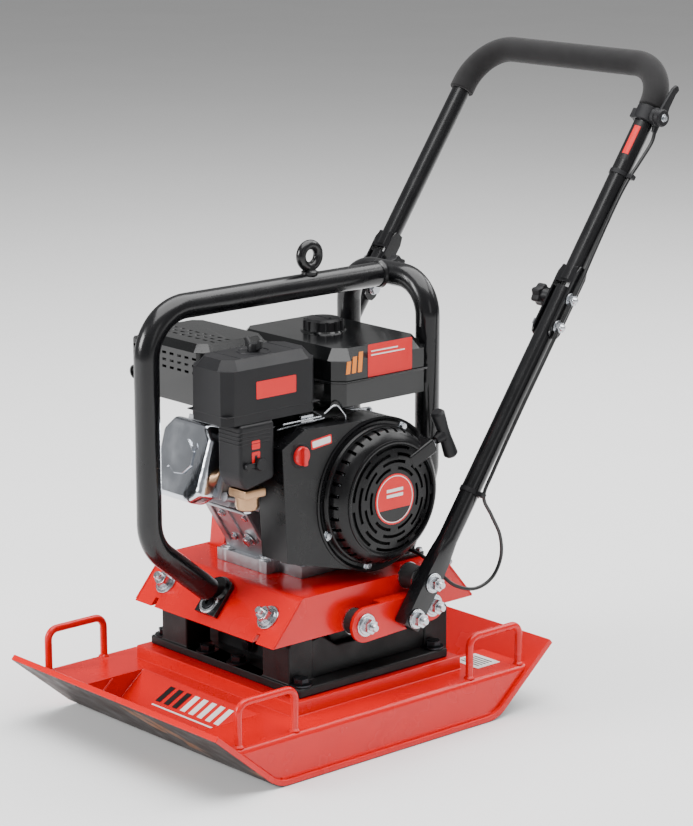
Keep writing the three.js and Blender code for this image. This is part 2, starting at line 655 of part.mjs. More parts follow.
const starter = new THREE.Group();
starter.position.set(PULL_FROM.x, PULL_FROM.y, PULL_FROM.z);
starter.rotation.x = pull;
engine.add(starter);
piece(starter, "recoil_rope", round("y", ROPE_RADIUS, 0, ROPE_SHOWN, [0, 0], 8), RUBBER);
piece(starter, "recoil_grip", join(
  round("y", 6, ROPE_SHOWN + GAP, ROPE_SHOWN + 13, [0, 0], 16, 9),
  round("z", 10, -GRIP_HALF, GRIP_HALF, [0, ROPE_SHOWN + 17], 16),
), BLACK_PLASTIC);

// controls on the engine's right side, each turning about X
const chokeX = ELBOW.right + GAP;
piece(engine, "choke_lever", join(
  round("x", CHOKE.hub, chokeX, chokeX + 6, [CHOKE.y, CHOKE.z], 16),
  block(chokeX, chokeX + 3, CHOKE.y - CHOKE.length, CHOKE.y, CHOKE.z - 3, CHOKE.z + 3),
), BLACK_PLASTIC);
const switchX = SHROUD_RIGHT + GAP;
piece(engine, "engine_switch", join(
  round("x", SWITCH.radius, switchX, switchX + SWITCH.wall, [SWITCH.y, SWITCH.z], 20),
  block(
    switchX, switchX + SWITCH.tab, SWITCH.y - 3, SWITCH.y + 3,
    SWITCH.z - SWITCH.radius, SWITCH.z + SWITCH.radius,
  ),
), RED_PLASTIC);
piece(engine, "throttle_arm", join(
  round("x", 6, ARM_X, ARM_X + 5, [ARM_PIVOT.y, ARM_PIVOT.z], 16),
  block(ARM_X, ARM_X + 3, ARM_PIVOT.y, ARM_PIVOT.y + 40, ARM_PIVOT.z - 4, ARM_PIVOT.z + 4),
), STEEL);

piece(engine, "crankshaft", round("x", CRANK_SHAFT, shaftEnd, SHROUD_RIGHT + 12, crank, 20), STEEL);
piece(engine, "clutch_pulley", pulley(CLUTCH_RADIUS, CRANK_SHAFT + GAP, crank), STEEL);
piece(engine, "flywheel", join(
  ringX(FLYWHEEL_RADIUS, CRANK_SHAFT + GAP, SHROUD_LEFT + 6, SHROUD_LEFT + 22, crank),
  ringX(FLYWHEEL_RADIUS - 16, FLYWHEEL_RADIUS - 34, SHROUD_LEFT + 21, SHROUD_LEFT + 40, crank),
), ALLOY);

piece(engine, "belt_guard", cut(
  prism(guardOutline(0), guardOuter, guardInner),
  prism(guardOutline(-GUARD_WALL), guardOuter + GUARD_WALL, guardInner + 1),
), RED);

// tank: a hollow body with its filler neck
const tankInside = {
  left: TANK.left + TANK_WALL, right: TANK.right - TANK_WALL,
  front: TANK.front + TANK_WALL, rear: TANK.rear - TANK_WALL,
  bottom: TANK.bottom + TANK_WALL, top: TANK.top - TANK_WALL,
};
const neck = [NECK_X, NECK_Y];
const neckTop = TANK.top + NECK_RISE;
piece(engine, "fuel_tank", cut(
  join(chamferedBox(TANK, 14, 12, 14), round("z", NECK_RADIUS, TANK.top - 10, neckTop, neck)),
  chamferedBox(tankInside, 12, 12, 14),
  round("z", NECK_RADIUS - TANK_WALL, TANK.top - 30, neckTop + 1, neck),
), BLACK_PAINT);
piece(engine, "fuel_cap", cut(
  round("z", NECK_RADIUS + 6, TANK.top + GAP, neckTop + 9, neck, 24, NECK_RADIUS + 4),
  round("z", NECK_RADIUS + GAP, TANK.top, neckTop + GAP, neck),
), BLACK_PLASTIC);

piece(engine, "air_cleaner_cover", chamferedBox(AIRBOX, 12, 10, 12), BLACK_PLASTIC);
const nutZ = AIRBOX.top + GAP;
piece(engine, "air_cleaner_nut", join(
  round("z", NUT.hub, nutZ, nutZ + 10, [NUT.x, NUT.y], 16),
  block(NUT.x - NUT.wing, NUT.x + NUT.wing, NUT.y - 2, NUT.y + 2, nutZ + 2, nutZ + NUT.height),
), BLACK_PLASTIC);
const elbowTop = AIRBOX.bottom - GAP;
piece(engine, "intake_elbow", prism(outline([
  [ELBOW.front, elbowTop - ELBOW.frontDrop], [ELBOW.front, elbowTop], [ELBOW.rear, elbowTop],
  [ELBOW.rear, elbowTop - ELBOW.rearDrop], [ELBOW.mid, elbowTop - ELBOW.midDrop],
]), ELBOW.left, ELBOW.right), BLACK_PLASTIC);
const carbLow = elbowTop - ELBOW.midDrop - 2 * GAP - CARB.flange;
piece(engine, "carburetor", join(
  block(CARB.left, CARB.right, CARB.front, CARB.rear, carbLow, carbLow + CARB.flange),
  round("z", BOWL.radius, carbLow - 18, carbLow - 18 + BOWL.height, [BOWL.x, BOWL.y], 20),
), BRASS);

piece(engine, "muffler_guard", chamferedBox(MUFFLER, 10, 8, 10), BLACK_PAINT);

// ---- cage ---------------------------------------------------------------------------
const cage = new THREE.Group();
group.add(cage);
const tube = CAGE_TUBE / 2;
const frontFoot = front.point(-4, -CAGE_TUBE);
const hoopEnd = CAGE_REAR - tube - GAP;
const hoopPath = [
  at(0, hoopEnd, CAGE_TOP), at(0, CAGE_FRONT, CAGE_TOP), at(0, CAGE_FRONT, CAGE_KNEE), at(0, ...frontFoot),
];
const hoopFoot = prism(outline([
  front.point(-26, -GAP), front.point(20, -GAP), front.point(20, -7), front.point(6, -CAGE_TUBE - 6),
  front.point(-14, -CAGE_TUBE - 6), front.point(-26, -14),
]), -20, 20);
piece(cage, "cage_front_hoop", join(bentTube(hoopPath, tube, CAGE_CORNER, 14, 6), hoopFoot), BLACK_PAINT);
const legX = CAGE_LEG_SPACING / 2;
const legFoot = DECK_TOP + GAP;
const footY = DECK_REAR - CAGE_FOOT / 2 - 2;
const footPlate = (x) => block(
  x - CAGE_FOOT / 2, x + CAGE_FOOT / 2, footY - CAGE_FOOT / 2, footY + CAGE_FOOT / 2, legFoot, legFoot + 6);
const arch = bentTube([
  at(-legX, footY, legFoot), at(-legX, CAGE_REAR, legFoot + 110), at(-legX, CAGE_REAR, CAGE_TOP),
  at(legX, CAGE_REAR, CAGE_TOP), at(legX, CAGE_REAR, legFoot + 110), at(legX, footY, legFoot),
], tube, CAGE_CORNER - 14, 14, 6);
const belowDeck = block(-deckHalf, deckHalf, footY - 80, footY + 80, legFoot - 60, legFoot);
piece(cage, "cage_rear_arch", cut(join(arch, footPlate(-legX), footPlate(legX)), belowDeck), BLACK_PAINT);
const eye = new THREE.TorusGeometry(EYE_RADIUS - EYE_BAR / 2, EYE_BAR / 2, 8, 20);
eye.rotateY(Math.PI / 2).translate(0, EYE_Y, CAGE_TOP + tube + EYE_RADIUS + GAP + 1);
piece(cage, "lifting_eye", join(solid(eye),
  block(-8, 8, EYE_Y - 8, EYE_Y + 8, CAGE_TOP + tube + GAP, CAGE_TOP + tube + 9)), BLACK_PAINT);

// ---- handle brackets and their rubber buffers ------------------------------------------
const bracketX = deckHalf + GAP + 20;
const bufferFront = [-5, HANDLE_PIVOT.z];
const bufferRear = [112, HANDLE_PIVOT.z + 2];
const slope = radians(HANDLE_SLOPE);
const alongHandle = (d) => [HANDLE_PIVOT.y + d * Math.cos(slope), HANDLE_PIVOT.z + d * Math.sin(slope)];
const bufferTop = alongHandle(51);
const tubeX = HANDLE_SPACING / 2;
const armInner = tubeX - ARM_WIDTH / 2;
for (const [sideName, side] of bothSides) {
  const span = (a, b) => mirrored(side, a, b);
  const buffer = (name, centre, far) => piece(group, `handle_buffer_${name}_${sideName}`,
    round("x", BUFFER_RADIUS, ...span(deckHalf + GAP, far - GAP), centre, 20), RUBBER);
  buffer("front", bufferFront, bracketX);
  buffer("rear", bufferRear, bracketX);
  buffer("top", bufferTop, armInner);
  const face = capsule(...bufferFront, 23, ...bufferRear, 20, 10);
  const [shelfFront, shelfRear] = [26, 84];
  const web = outline([
    [-2, HANDLE_PIVOT.z + 10], [100, HANDLE_PIVOT.z + 10], [shelfRear, SHELF_TOP], [shelfFront, SHELF_TOP],
  ]);
  const shelf = outline([
    [shelfFront, SHELF_TOP - BRACKET_WALL], [shelfRear, SHELF_TOP - BRACKET_WALL],
    [shelfRear, SHELF_TOP], [shelfFront, SHELF_TOP],
  ]);
  piece(group, `handle_bracket_${sideName}`, join(
    prism(face, ...span(bracketX, bracketX + BRACKET_WALL)),
    prism(web, ...span(bracketX, bracketX + BRACKET_WALL)),
    prism(shelf, ...span(deckHalf + 4, bracketX + 1)),
  ), RED);
}

// ---- handle -------------------------------------------------------------------------
// Its own frame: +Z runs up the handle from the lower pivot, +Y is behind it.
const handle = new THREE.Group();
handle.position.set(0, HANDLE_PIVOT.y, HANDLE_PIVOT.z);
handle.rotation.x = -(Math.PI / 2 - slope);
group.add(handle);
const tubeRadius = HANDLE_TUBE / 2;
const clevisStart = FOLD_AT - 18;
const upperStart = LOCK_AT + 20;
for (const [sideName, side] of bothSides) {
  const x = side * tubeX;
  piece(handle, `handle_lower_${sideName}`, join(
    round("z", tubeRadius, ARM_LENGTH - 20, upperStart - 6, [x, 0], 16),
    block(x - ARM_WIDTH / 2, x + ARM_WIDTH / 2, -ARM_DEPTH / 2, ARM_DEPTH / 2, -14, ARM_LENGTH),
  ), BLACK_PAINT);
}
const clevis = (x) => {
  const cheek = (a, b) => block(x + a, x + b, -11, 11, clevisStart, upperStart + 26);
  const out = tubeRadius + GAP + CLEVIS_WALL;
  return join(
    cheek(-out, -tubeRadius - GAP), cheek(tubeRadius + GAP, out),
    block(x - out, x + out, -11, 11, upperStart, upperStart + 26),
  );
};
piece(handle, "handle_upper", join(
  bentTube([
    at(-tubeX, 0, upperStart + 4), at(-tubeX, 0, HANDLE_LENGTH),
    at(tubeX, 0, HANDLE_LENGTH), at(tubeX, 0, upperStart + 4),
  ], tubeRadius, HANDLE_CORNER, 16, 8),
  clevis(-tubeX), clevis(tubeX),
), BLACK_PAINT);
const gripPath = (beyond) => [
  at(-tubeX, 0, GRIP_START - beyond), at(-tubeX, 0, HANDLE_LENGTH),
  at(tubeX, 0, HANDLE_LENGTH), at(tubeX, 0, GRIP_START_RIGHT - beyond),
];
piece(handle, "grip_foam", cut(
  bentTube(gripPath(0), GRIP_OUTER, HANDLE_CORNER, 16, 8),
  bentTube(gripPath(5), tubeRadius + GAP, HANDLE_CORNER, 16, 8),
), FOAM);

// star knobs on the inner side of each fold
const KNOB_LOBES = 6;
const LOBE_DEPTH = 1.6;
for (const [sideName, side] of bothSides) {
  const inner = tubeX - tubeRadius - CLEVIS_WALL - 2 * GAP;
  const star = new THREE.Shape();
  const steps = KNOB_LOBES * 4;
  for (let i = 0; i <= steps; i++) {
    const a = (2 * Math.PI * i) / steps;
    const r = KNOB_RADIUS - LOBE_DEPTH + LOBE_DEPTH * Math.cos(KNOB_LOBES * a);
    star[i ? "lineTo" : "moveTo"](r * Math.cos(a), LOCK_AT + r * Math.sin(a));
  }
  const span = (a, b) => mirrored(side, a, b);
  piece(handle, `lock_knob_${sideName}`, join(
    prism(star, ...span(inner - 26, inner - 12)),
    round("x", 9, ...span(inner - 13, inner), [0, LOCK_AT], 16),
  ), BLACK_PLASTIC);
}

// ---- throttle -----------------------------------------------------------------------
const clampZ = GRIP_START_RIGHT - 12;
const leverX = tubeX + tubeRadius + 9;
piece(handle, "throttle_clamp", cut(
  join(
    round("z", tubeRadius + 4, clampZ - 11, clampZ + 11, [tubeX, 0], 16),
    block(tubeX + 4, leverX, -10, 10, clampZ - 11, clampZ + 11),
  ),
  round("z", tubeRadius + GAP, clampZ - 12, clampZ + 12, [tubeX, 0], 16),
), BLACK_PLASTIC);
piece(handle, "throttle_lever", join(
  round("x", 12, leverX + GAP, leverX + 8, [0, clampZ], 20),
  prism(outline([
    [8, clampZ], [4, clampZ + 20], [5, clampZ + 38], [7, clampZ + 47],
    [-1, clampZ + 50], [-5, clampZ + 41], [-7, clampZ + 22], [-7, clampZ],
  ]), leverX + GAP, leverX + 6),
), BLACK_PLASTIC);

// ---- throttle cable: one run beside the handle, one down to the engine -------------------
const cableX = tubeX + tubeRadius + GAP + CLEVIS_WALL + CABLE_RADIUS + 1;
const upperRoute = [
  at(leverX - 5, 7, clampZ - 14), at(leverX - 3, 10, clampZ - 32), at(leverX - 4, 6, clampZ - 66),
  at(leverX - 5, 2, clampZ - 94), at(leverX - 5, 0, clampZ - 130), at(cableX - 2, 0, clampZ - 200),
  at(cableX, 0, clampZ - 250), at(cableX, 0, FOLD_AT + 9),
];
function smooth(points, steps) {
  return new THREE.CatmullRomCurve3(points, false, "centripetal").getSpacedPoints(steps);
}
piece(handle, "throttle_cable_upper", sweep(smooth(upperRoute, 44), CABLE_RADIUS, 8), RUBBER);

// a point of the handle's own frame, in the part's frame
const onHandle = (x, y, z) => at(
  x,
  HANDLE_PIVOT.y + z * Math.cos(slope) + y * Math.sin(slope),
  HANDLE_PIVOT.z + z * Math.sin(slope) - y * Math.cos(slope),
);
const lowerRoute = [
  onHandle(cableX, 0, FOLD_AT - 9), onHandle(cableX, 0, FOLD_AT - 60), onHandle(cableX, 0, 300),
  onHandle(cableX, 2, 215), onHandle(cableX, 6, 180), at(198, 184, 276), at(198, 200, 246), at(197, 203, 216),
  at(194, 190, 190), at(188, 165, 179), at(176, 140, 186), at(160, 126, 204), at(142, 121, 218),
  at(122, 118, 224), at(98, 116.5, 224), at(74, 116.5, 224), at(56, 119, 232), at(48, 127, 256),
  at(47, 128, 290), at(47, 127, 340), at(46, 124, 372), at(44.8, 118, 392),
];
piece(group, "throttle_cable_lower", sweep(smooth(lowerRoute, 76), CABLE_RADIUS, 8), RUBBER);

export default group;
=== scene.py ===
# A walk-behind plate compactor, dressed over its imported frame. Metres, +Z up, -Y is the front,
# +X is the pull-starter side. Every piece sits where the frame's nodes say.
import math

import bmesh
import bpy
from mathutils import Matrix, Vector


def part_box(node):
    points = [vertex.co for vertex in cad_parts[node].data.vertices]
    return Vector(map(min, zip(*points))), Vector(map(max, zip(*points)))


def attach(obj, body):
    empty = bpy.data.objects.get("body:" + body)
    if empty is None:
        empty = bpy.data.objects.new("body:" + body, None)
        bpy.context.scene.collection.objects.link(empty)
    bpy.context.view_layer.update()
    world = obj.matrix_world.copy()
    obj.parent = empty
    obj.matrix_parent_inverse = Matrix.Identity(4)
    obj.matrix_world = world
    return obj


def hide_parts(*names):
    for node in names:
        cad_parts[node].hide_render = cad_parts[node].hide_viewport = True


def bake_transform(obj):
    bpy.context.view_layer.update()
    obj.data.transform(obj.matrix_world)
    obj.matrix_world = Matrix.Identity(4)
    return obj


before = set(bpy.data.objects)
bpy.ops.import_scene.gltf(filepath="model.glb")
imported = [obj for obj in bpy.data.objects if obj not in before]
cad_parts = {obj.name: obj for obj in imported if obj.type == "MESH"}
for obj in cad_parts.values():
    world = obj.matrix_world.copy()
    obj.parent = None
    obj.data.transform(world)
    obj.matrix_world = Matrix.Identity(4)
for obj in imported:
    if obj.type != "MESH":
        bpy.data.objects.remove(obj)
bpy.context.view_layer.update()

MM = 0.001
X, Y, Z = Vector((1, 0, 0)), Vector((0, 1, 0)), Vector((0, 0, 1))
SIDES = (("left", -1), ("right", 1))
ENDS = (("front", -1), ("rear", 1))
scene = bpy.context.scene

# ---- places taken from the frame, and the few the frame's boxes can't give ----------------


def middle(node):
    low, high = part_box(node)
    return (low + high) / 2


def mm(x, y, z):
    return Vector((x, y, z)) * MM


def in_mm(*points):
    """Points of an outline or a profile, given in millimetres."""
    return [(x * MM, y * MM) for x, y in points]


CRANK = Vector((0, *middle("crankshaft")[1:]))
AXLE = Vector((0, *middle("exciter_shaft")[1:]))
DECK_LOW, DECK_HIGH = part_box("engine_deck")
SLANT_RUN = 48 * MM  # how far each end of the deck runs out as it bends down
SLANT_DROP = DECK_HIGH.z - DECK_LOW.z
MOUNT_X = middle("shock_mount_front_right").x
HANDLE_PIVOT = mm(0, 61, 160)
HANDLE_SLOPE = math.radians(55)
HANDLE_X = 178 * MM
HANDLE_TUBE = 13 * MM  # radius
FOLD_AT = 424 * MM  # along the handle from its pivot
LOCK_AT = 464 * MM
HANDLE_END = 815 * MM
GRIP_START = {-1: 742 * MM, 1: 751 * MM}  # the grip's lower end on each side
CLAMP_AT = 739 * MM
CAGE_TUBE = 16 * MM  # radius
PULL_SLOPE = math.radians(23)


def facing(at, axis, up=Z):
    """A frame at a point, with its own Z along axis and its own Y as near to up as it can be."""
    z = axis.normalized()
    x = up.cross(z)
    x = x.normalized() if x.length > 1e-6 else X.copy()
    return Matrix.Translation(at) @ Matrix((x, z.cross(x), z)).transposed().to_4x4()


def slope_frame(end):
    """The middle of the deck's front or rear slope: own Z out of it, own Y up it."""
    edge = DECK_LOW.y if end < 0 else DECK_HIGH.y
    centre = Vector((0, edge - end * SLANT_RUN / 2, (DECK_LOW.z + DECK_HIGH.z) / 2))
    return facing(centre, Vector((0, end * SLANT_DROP, SLANT_RUN)))


# The handle's own frame: +Z runs up it from the pivot, +Y is behind it.
HANDLE = Matrix.Translation(HANDLE_PIVOT) @ Matrix.Rotation(HANDLE_SLOPE - math.pi / 2, 4, "X")

SIDEWAYS = facing(Vector(), X)  # outlines of (y, z), pushed along +X
ON_ITS_BACK = Matrix.Rotation(math.pi / 2, 4, "X")  # turns own Z to -Y

# ---- camera, floor and light ---------------------------------------------------------------
TARGET = Vector((0.3483, -0.2012, 0.4997))
AZIMUTH, ELEVATION, DISTANCE = math.radians(48.25), math.radians(13.39), 3.2
LENS = 121.8


def add_camera():
    camera = bpy.data.objects.new("camera", bpy.data.cameras.new("camera"))
    scene.collection.objects.link(camera)
    level = math.cos(ELEVATION)
    back = Vector((math.sin(AZIMUTH) * level, -math.cos(AZIMUTH) * level, math.sin(ELEVATION)))
    camera.location = TARGET + back * DISTANCE
    camera.rotation_mode = "QUATERNION"
    camera.rotation_quaternion = (-back).to_track_quat("-Z", "Y")
    camera.data.lens = LENS
    scene.camera = camera


def add_light(name, at, size, power, aim=Vector((0, 0, 0.3))):
    light = bpy.data.lights.new(name, "AREA")
    light.shape = "RECTANGLE"
    light.size, light.size_y = size
    light.energy = power
    lamp = bpy.data.objects.new(name, light)
    lamp.location = at
    lamp.rotation_mode = "QUATERNION"
    lamp.rotation_quaternion = (aim - Vector(at)).to_track_quat("-Z", "Y")
    scene.collection.objects.link(lamp)


# ---- materials -----------------------------------------------------------------------------


def linear(code):
    """An sRGB hex colour as linear red, green, blue and alpha."""
    shares = [int(code[i:i + 2], 16) / 255 for i in (1, 3, 5)]
    return (*(c / 12.92 if c <= 0.04045 else ((c + 0.055) / 1.055) ** 2.4 for c in shares), 1.0)


def add(tree, kind, sockets, **settings):
    """Adds a node, with its settings, and sets or links its sockets."""
    node = tree.nodes.new(kind)
    for name, value in settings.items():
        setattr(node, name, value)
    for name, value in sockets.items():
        if isinstance(value, bpy.types.NodeSocket):
            tree.links.new(value, node.inputs[name])
        else:
            node.inputs[name].default_value = value
    return node


def finish(name, colours, roughness, patch, grain, relief, shader=None, pattern=None):
    """A surface whose colour drifts between two shades over patches, whose roughness varies with
    them, and whose relief is a fine grain. Patch, grain and relief are in millimetres."""
    made = bpy.data.materials.new(name)
    made.use_nodes = True
    tree = made.node_tree
    tree.nodes.clear()
    place = add(tree, "ShaderNodeTexCoord", {}).outputs["Object"]
    drift = add(tree, "ShaderNodeTexNoise", {"Vector": place, "Scale": 1 / (patch * MM), "Detail": 3.0})
    colour = add(tree, "ShaderNodeMix", {0: drift.outputs["Fac"], 6: linear(colours[0]),
        7: linear(colours[1])}, data_type="RGBA").outputs[2]
    rough = add(tree, "ShaderNodeMapRange", {"Value": drift.outputs["Fac"], "From Min": 0.3,
        "From Max": 0.7, "To Min": roughness[0], "To Max": roughness[1]})
    fine = add(tree, "ShaderNodeTexNoise", {"Vector": place, "Scale": 1 / (grain * MM), "Detail": 2.0})
    height = fine.outputs["Fac"]
    if pattern:
        height, colour = pattern(tree, place, height, colour)
    bump = add(tree, "ShaderNodeBump", {"Height": height, "Strength": 1.0, "Distance": relief * MM})
    sockets = {"Base Color": colour, "Roughness": rough.outputs["Result"],
        "Normal": bump.outputs["Normal"]}
    sockets.update(shader or {})
    surface = add(tree, "ShaderNodeBsdfPrincipled", sockets)
    add(tree, "ShaderNodeOutputMaterial", {"Surface": surface.outputs["BSDF"]})
    return made


def painted_reflection_patches(to, amount, patch):
    """A pattern that shows another colour in scattered patches; on the sole it paints reflections as brown
    patches.
    """
    def pattern(tree, place, height, colour):
        noise = add(tree, "ShaderNodeTexNoise", {"Vector": place, "Scale": 1 / (patch * MM),
            "Detail": 6.0})
        share = add(tree, "ShaderNodeMapRange", {"Value": noise.outputs["Fac"], "From Min": 1 - amount,
            "From Max": 1.04 - amount})
        mixed = add(tree, "ShaderNodeMix", {0: share.outputs["Result"], 6: colour, 7: linear(to)},
            data_type="RGBA")
        return height, mixed.outputs[2]
    return pattern


def ringed(spacing, depth):
    """A pattern of fine grooves across local Z, as a lathe or a moulded thread leaves."""
    def pattern(tree, place, height, colour):
        wave = add(tree, "ShaderNodeTexWave", {"Vector": place, "Scale": 0.314 / (spacing * MM),
            "Distortion": 0.4}, bands_direction="Z")
        total = add(tree, "ShaderNodeMath", {0: wave.outputs["Fac"], 1: depth, 2: height},
            operation="MULTIPLY_ADD")
        return total.outputs[0], colour
    return pattern


# Red powder coat over welded steel: glossy, with the slight orange peel of baked powder.
RED_COAT = finish("red_powder_coat", ("#D80008", "#C80006"), (0.2, 0.3), 60, 3.2, 0.05,
    {"Coat Weight": 0.1, "Coat Roughness": 0.08, "IOR": 1.4})
# The same plate's underside: painted shade, a dark steel colour for the downward faces, with brown patches
# that are painted reflections.
SOLE_SHADE_AND_REFLECTION = finish("sole_painted_shade_and_reflection", ("#241E1D", "#3A2A26"), (0.4, 0.6), 30, 1.5, 0.12,
    {"Metallic": 0.6}, painted_reflection_patches("#8A5A3C", 0.36, 90))
# Black powder coat on bent tube: satin gloss that draws long pale highlights.
BLACK_COAT = finish("black_powder_coat", ("#0B0B0D", "#121214"), (0.2, 0.3), 40, 2.5, 0.04,
    {"Coat Weight": 0.2, "Coat Roughness": 0.08, "IOR": 1.4})
# Black enamel on pressed sheet: the smoothest black, on the fuel tank.
BLACK_ENAMEL = finish("black_enamel_steel", ("#08090A", "#0E0F10"), (0.16, 0.24), 60, 6, 0.02,
    {"Coat Weight": 0.3, "Coat Roughness": 0.05, "IOR": 1.4})
# Sand-cast iron under thin black paint: coarse grain and a dull sheen.
BLACK_CASTING = finish("black_painted_cast_iron", ("#0A0A0B", "#151516"), (0.42, 0.6), 25, 1.6, 0.25,
    {"IOR": 1.36})
# Moulded glass-filled nylon with a spark-eroded grain: dark grey under a soft light.
NYLON = finish("moulded_black_nylon", ("#101012", "#161619"), (0.42, 0.52), 35, 0.9, 0.07, {"IOR": 1.36})
# The same nylon from a polished mould: glossier, on the blower housing and starter.
GLOSS_NYLON = finish("polished_black_nylon", ("#0A0A0B", "#101012"), (0.24, 0.34), 30, 1.2, 0.03,
    {"IOR": 1.36})
# Vulcanised rubber with a grey bloom.
RUBBER = finish("vulcanised_rubber", ("#1C1C1D", "#262627"), (0.6, 0.8), 12, 1.0, 0.08, {"IOR": 1.52})
# Closed-cell foam sleeve: matt, with a skin of fine cells.
FOAM = finish("closed_cell_foam", ("#131213", "#191819"), (0.85, 0.97), 20, 0.8, 0.16,
    {"Sheen Weight": 0.08, "Sheen Roughness": 0.5, "IOR": 1.4})
# Die-cast aluminium, as cast: a soft grey with darker drifts of mould release.
ALLOY = finish("die_cast_aluminium", ("#8E8F92", "#AEB0B4"), (0.34, 0.5), 18, 1.4, 0.14,
    {"Metallic": 1.0})
# Steel pressed and chromed: near-mirror with a slight ripple from the press.
CHROME = finish("chromed_pressed_steel", ("#CBD0D8", "#DDE1E8"), (0.1, 0.2), 22, 9, 0.22,
    {"Metallic": 1.0})
# Bright zinc plating on nuts, washers and rods.
ZINC = finish("bright_zinc_plated_steel", ("#B6BABF", "#CDD0D4"), (0.2, 0.34), 6, 1.0, 0.03,
    {"Metallic": 1.0})
# Black oxide on high-strength bolts: dark, oily, slightly blue.
BLACK_OXIDE = finish("black_oxide_steel", ("#1B1C1F", "#2B2C30"), (0.28, 0.42), 6, 1.0, 0.05,
    {"Metallic": 0.8})
# Ground and turned steel on the shafts and pulleys, with its lathe grooves.
TURNED_STEEL = finish("turned_steel", ("#8C8D90", "#A2A3A6"), (0.25, 0.38), 10, 1.0, 0.03,
    {"Metallic": 1.0}, ringed(1.2, 0.6))
# Yellow-pink chromate over zinc on the carburettor body and bowl.
CHROMATE = finish("yellow_chromate_zinc", ("#9C7A5C", "#C09A78"), (0.26, 0.4), 8, 1.1, 0.06,
    {"Metallic": 1.0})
# Braided nylon starter rope and the cable's PVC sleeve.
ROPE = finish("braided_nylon_rope", ("#1A1A1C", "#3A3A3E"), (0.6, 0.75), 1.2, 0.8, 0.3, {"IOR": 1.53})
SLEEVE = finish("extruded_pvc_sleeve", ("#0D0D0E", "#131315"), (0.3, 0.42), 15, 1.5, 0.02, {"IOR": 1.53})
# Wrapped V-belt: rubberised cloth, so a fine weave shows on its back.
BELT = finish("wrapped_rubber_belt", ("#161617", "#202022"), (0.65, 0.8), 5, 0.9, 0.15, {"IOR": 1.52})
# Printed vinyl: flat colours under a clear film.
FILM = {"Coat Weight": 0.1, "Coat Roughness": 0.15, "IOR": 1.4}
RED_VINYL = finish("red_printed_vinyl", ("#E00A10", "#D0080E"), (0.3, 0.4), 30, 4, 0.01, FILM)
WHITE_VINYL = finish("white_printed_vinyl", ("#EDEDEB", "#E2E2E0"), (0.3, 0.42), 30, 4, 0.01, FILM)
BLACK_VINYL = finish("black_printed_vinyl", ("#0C0C0D", "#121213"), (0.3, 0.42), 30, 4, 0.01, FILM)
ORANGE_VINYL = finish("orange_printed_vinyl", ("#F08A24", "#E67C18"), (0.3, 0.4), 30, 4, 0.01, FILM)
# Red moulded switch knob.
RED_NYLON = finish("moulded_red_nylon", ("#C4121A", "#D0161E"), (0.3, 0.4), 20, 1.2, 0.04, {"IOR": 1.53})
# Floor: seamless pale paper.
PAPER = finish("pale_studio_paper", ("#F2F2F2", "#ECECEC"), (0.85, 0.95), 400, 2.0, 0.02, {"IOR": 1.4})

# ---- shapes --------------------------------------------------------------------------------


def moved(bm, matrix):
    bmesh.ops.transform(bm, matrix=matrix, verts=bm.verts)
    return bm


def joined(*parts):
    whole = bmesh.new()
    for part in parts:
        mesh = bpy.data.meshes.new("part")
        part.to_mesh(mesh)
        part.free()
        whole.from_mesh(mesh)
        bpy.data.meshes.remove(mesh)
    return whole


def rounded(bm, width, segments=2, sharper=30, chosen=None):
    """Bevels the edges sharper than an angle, or only the chosen ones among them."""
    edges = [e for e in bm.edges if e.is_manifold and e.calc_face_angle(0) > math.radians(sharper)]
    if chosen:
        edges = [e for e in edges if chosen(e)]
    bmesh.ops.bevel(bm, geom=edges, offset=width, offset_type="OFFSET", segments=segments, profile=0.5,
        affect="EDGES", clamp_overlap=True, material=-1)
    return bm


def box(low, high, width=0.0, segments=2):
    bm = bmesh.new()
    low, high = Vector(low), Vector(high)
    bmesh.ops.create_cube(bm, size=1, matrix=Matrix.Translation((low + high) / 2) @
        Matrix.Diagonal((*(high - low), 1)))
    return rounded(bm, width, segments) if width else bm


def bar(a, b, radius, sides=32, end_radius=None, width=0.0):
    """A round bar or cone from one point to another."""
    a, b = Vector(a), Vector(b)
    bm = bmesh.new()
    far_radius = radius if end_radius is None else end_radius
    bmesh.ops.create_cone(bm, cap_ends=True, segments=sides, radius1=radius, radius2=far_radius,
        depth=(b - a).length, matrix=facing((a + b) / 2, b - a))
    return rounded(bm, width, 2, 60) if width else bm


def lathe(profile, place=None, steps=48):
    """A profile of radii and heights turned about its own Z. It starts and ends on the axis, or closes."""
    bm = bmesh.new()
    verts = [bm.verts.new((r, 0, h)) for r, h in profile]
    edges = [bm.edges.new(pair) for pair in zip(verts, verts[1:])]
    bmesh.ops.spin(bm, geom=verts + edges, cent=(0, 0, 0), axis=(0, 0, 1), angle=2 * math.pi,
        steps=steps, use_merge=True)
    bmesh.ops.remove_doubles(bm, verts=bm.verts, dist=1e-6)
    bmesh.ops.recalc_face_normals(bm, faces=bm.faces)
    return moved(bm, place) if place else bm


def slab(points, low, high, place=None, width=0.0, segments=2, sharper=30):
    """A flat outline pushed along its own Z from low to high."""
    bm = bmesh.new()
    face = bm.faces.new([bm.verts.new((x, y, low)) for x, y in points])
    grown = bmesh.ops.extrude_face_region(bm, geom=[face])["geom"]
    top = [g for g in grown if isinstance(g, bmesh.types.BMVert)]
    bmesh.ops.translate(bm, vec=(0, 0, high - low), verts=top)
    bmesh.ops.recalc_face_normals(bm, faces=bm.faces)
    if width:
        rounded(bm, width, segments, sharper)
    return moved(bm, place) if place else bm


def drawn_on(bm, ring):
    """Extrudes a ring of edges where it is, and gives its new points and its new ring."""
    grown = bmesh.ops.extrude_edge_only(bm, edges=ring)["geom"]
    points = [g for g in grown if isinstance(g, bmesh.types.BMVert)]
    edges = [g for g in grown if isinstance(g, bmesh.types.BMEdge)]
    return points, [e for e in edges if all(v in points for v in e.verts)]


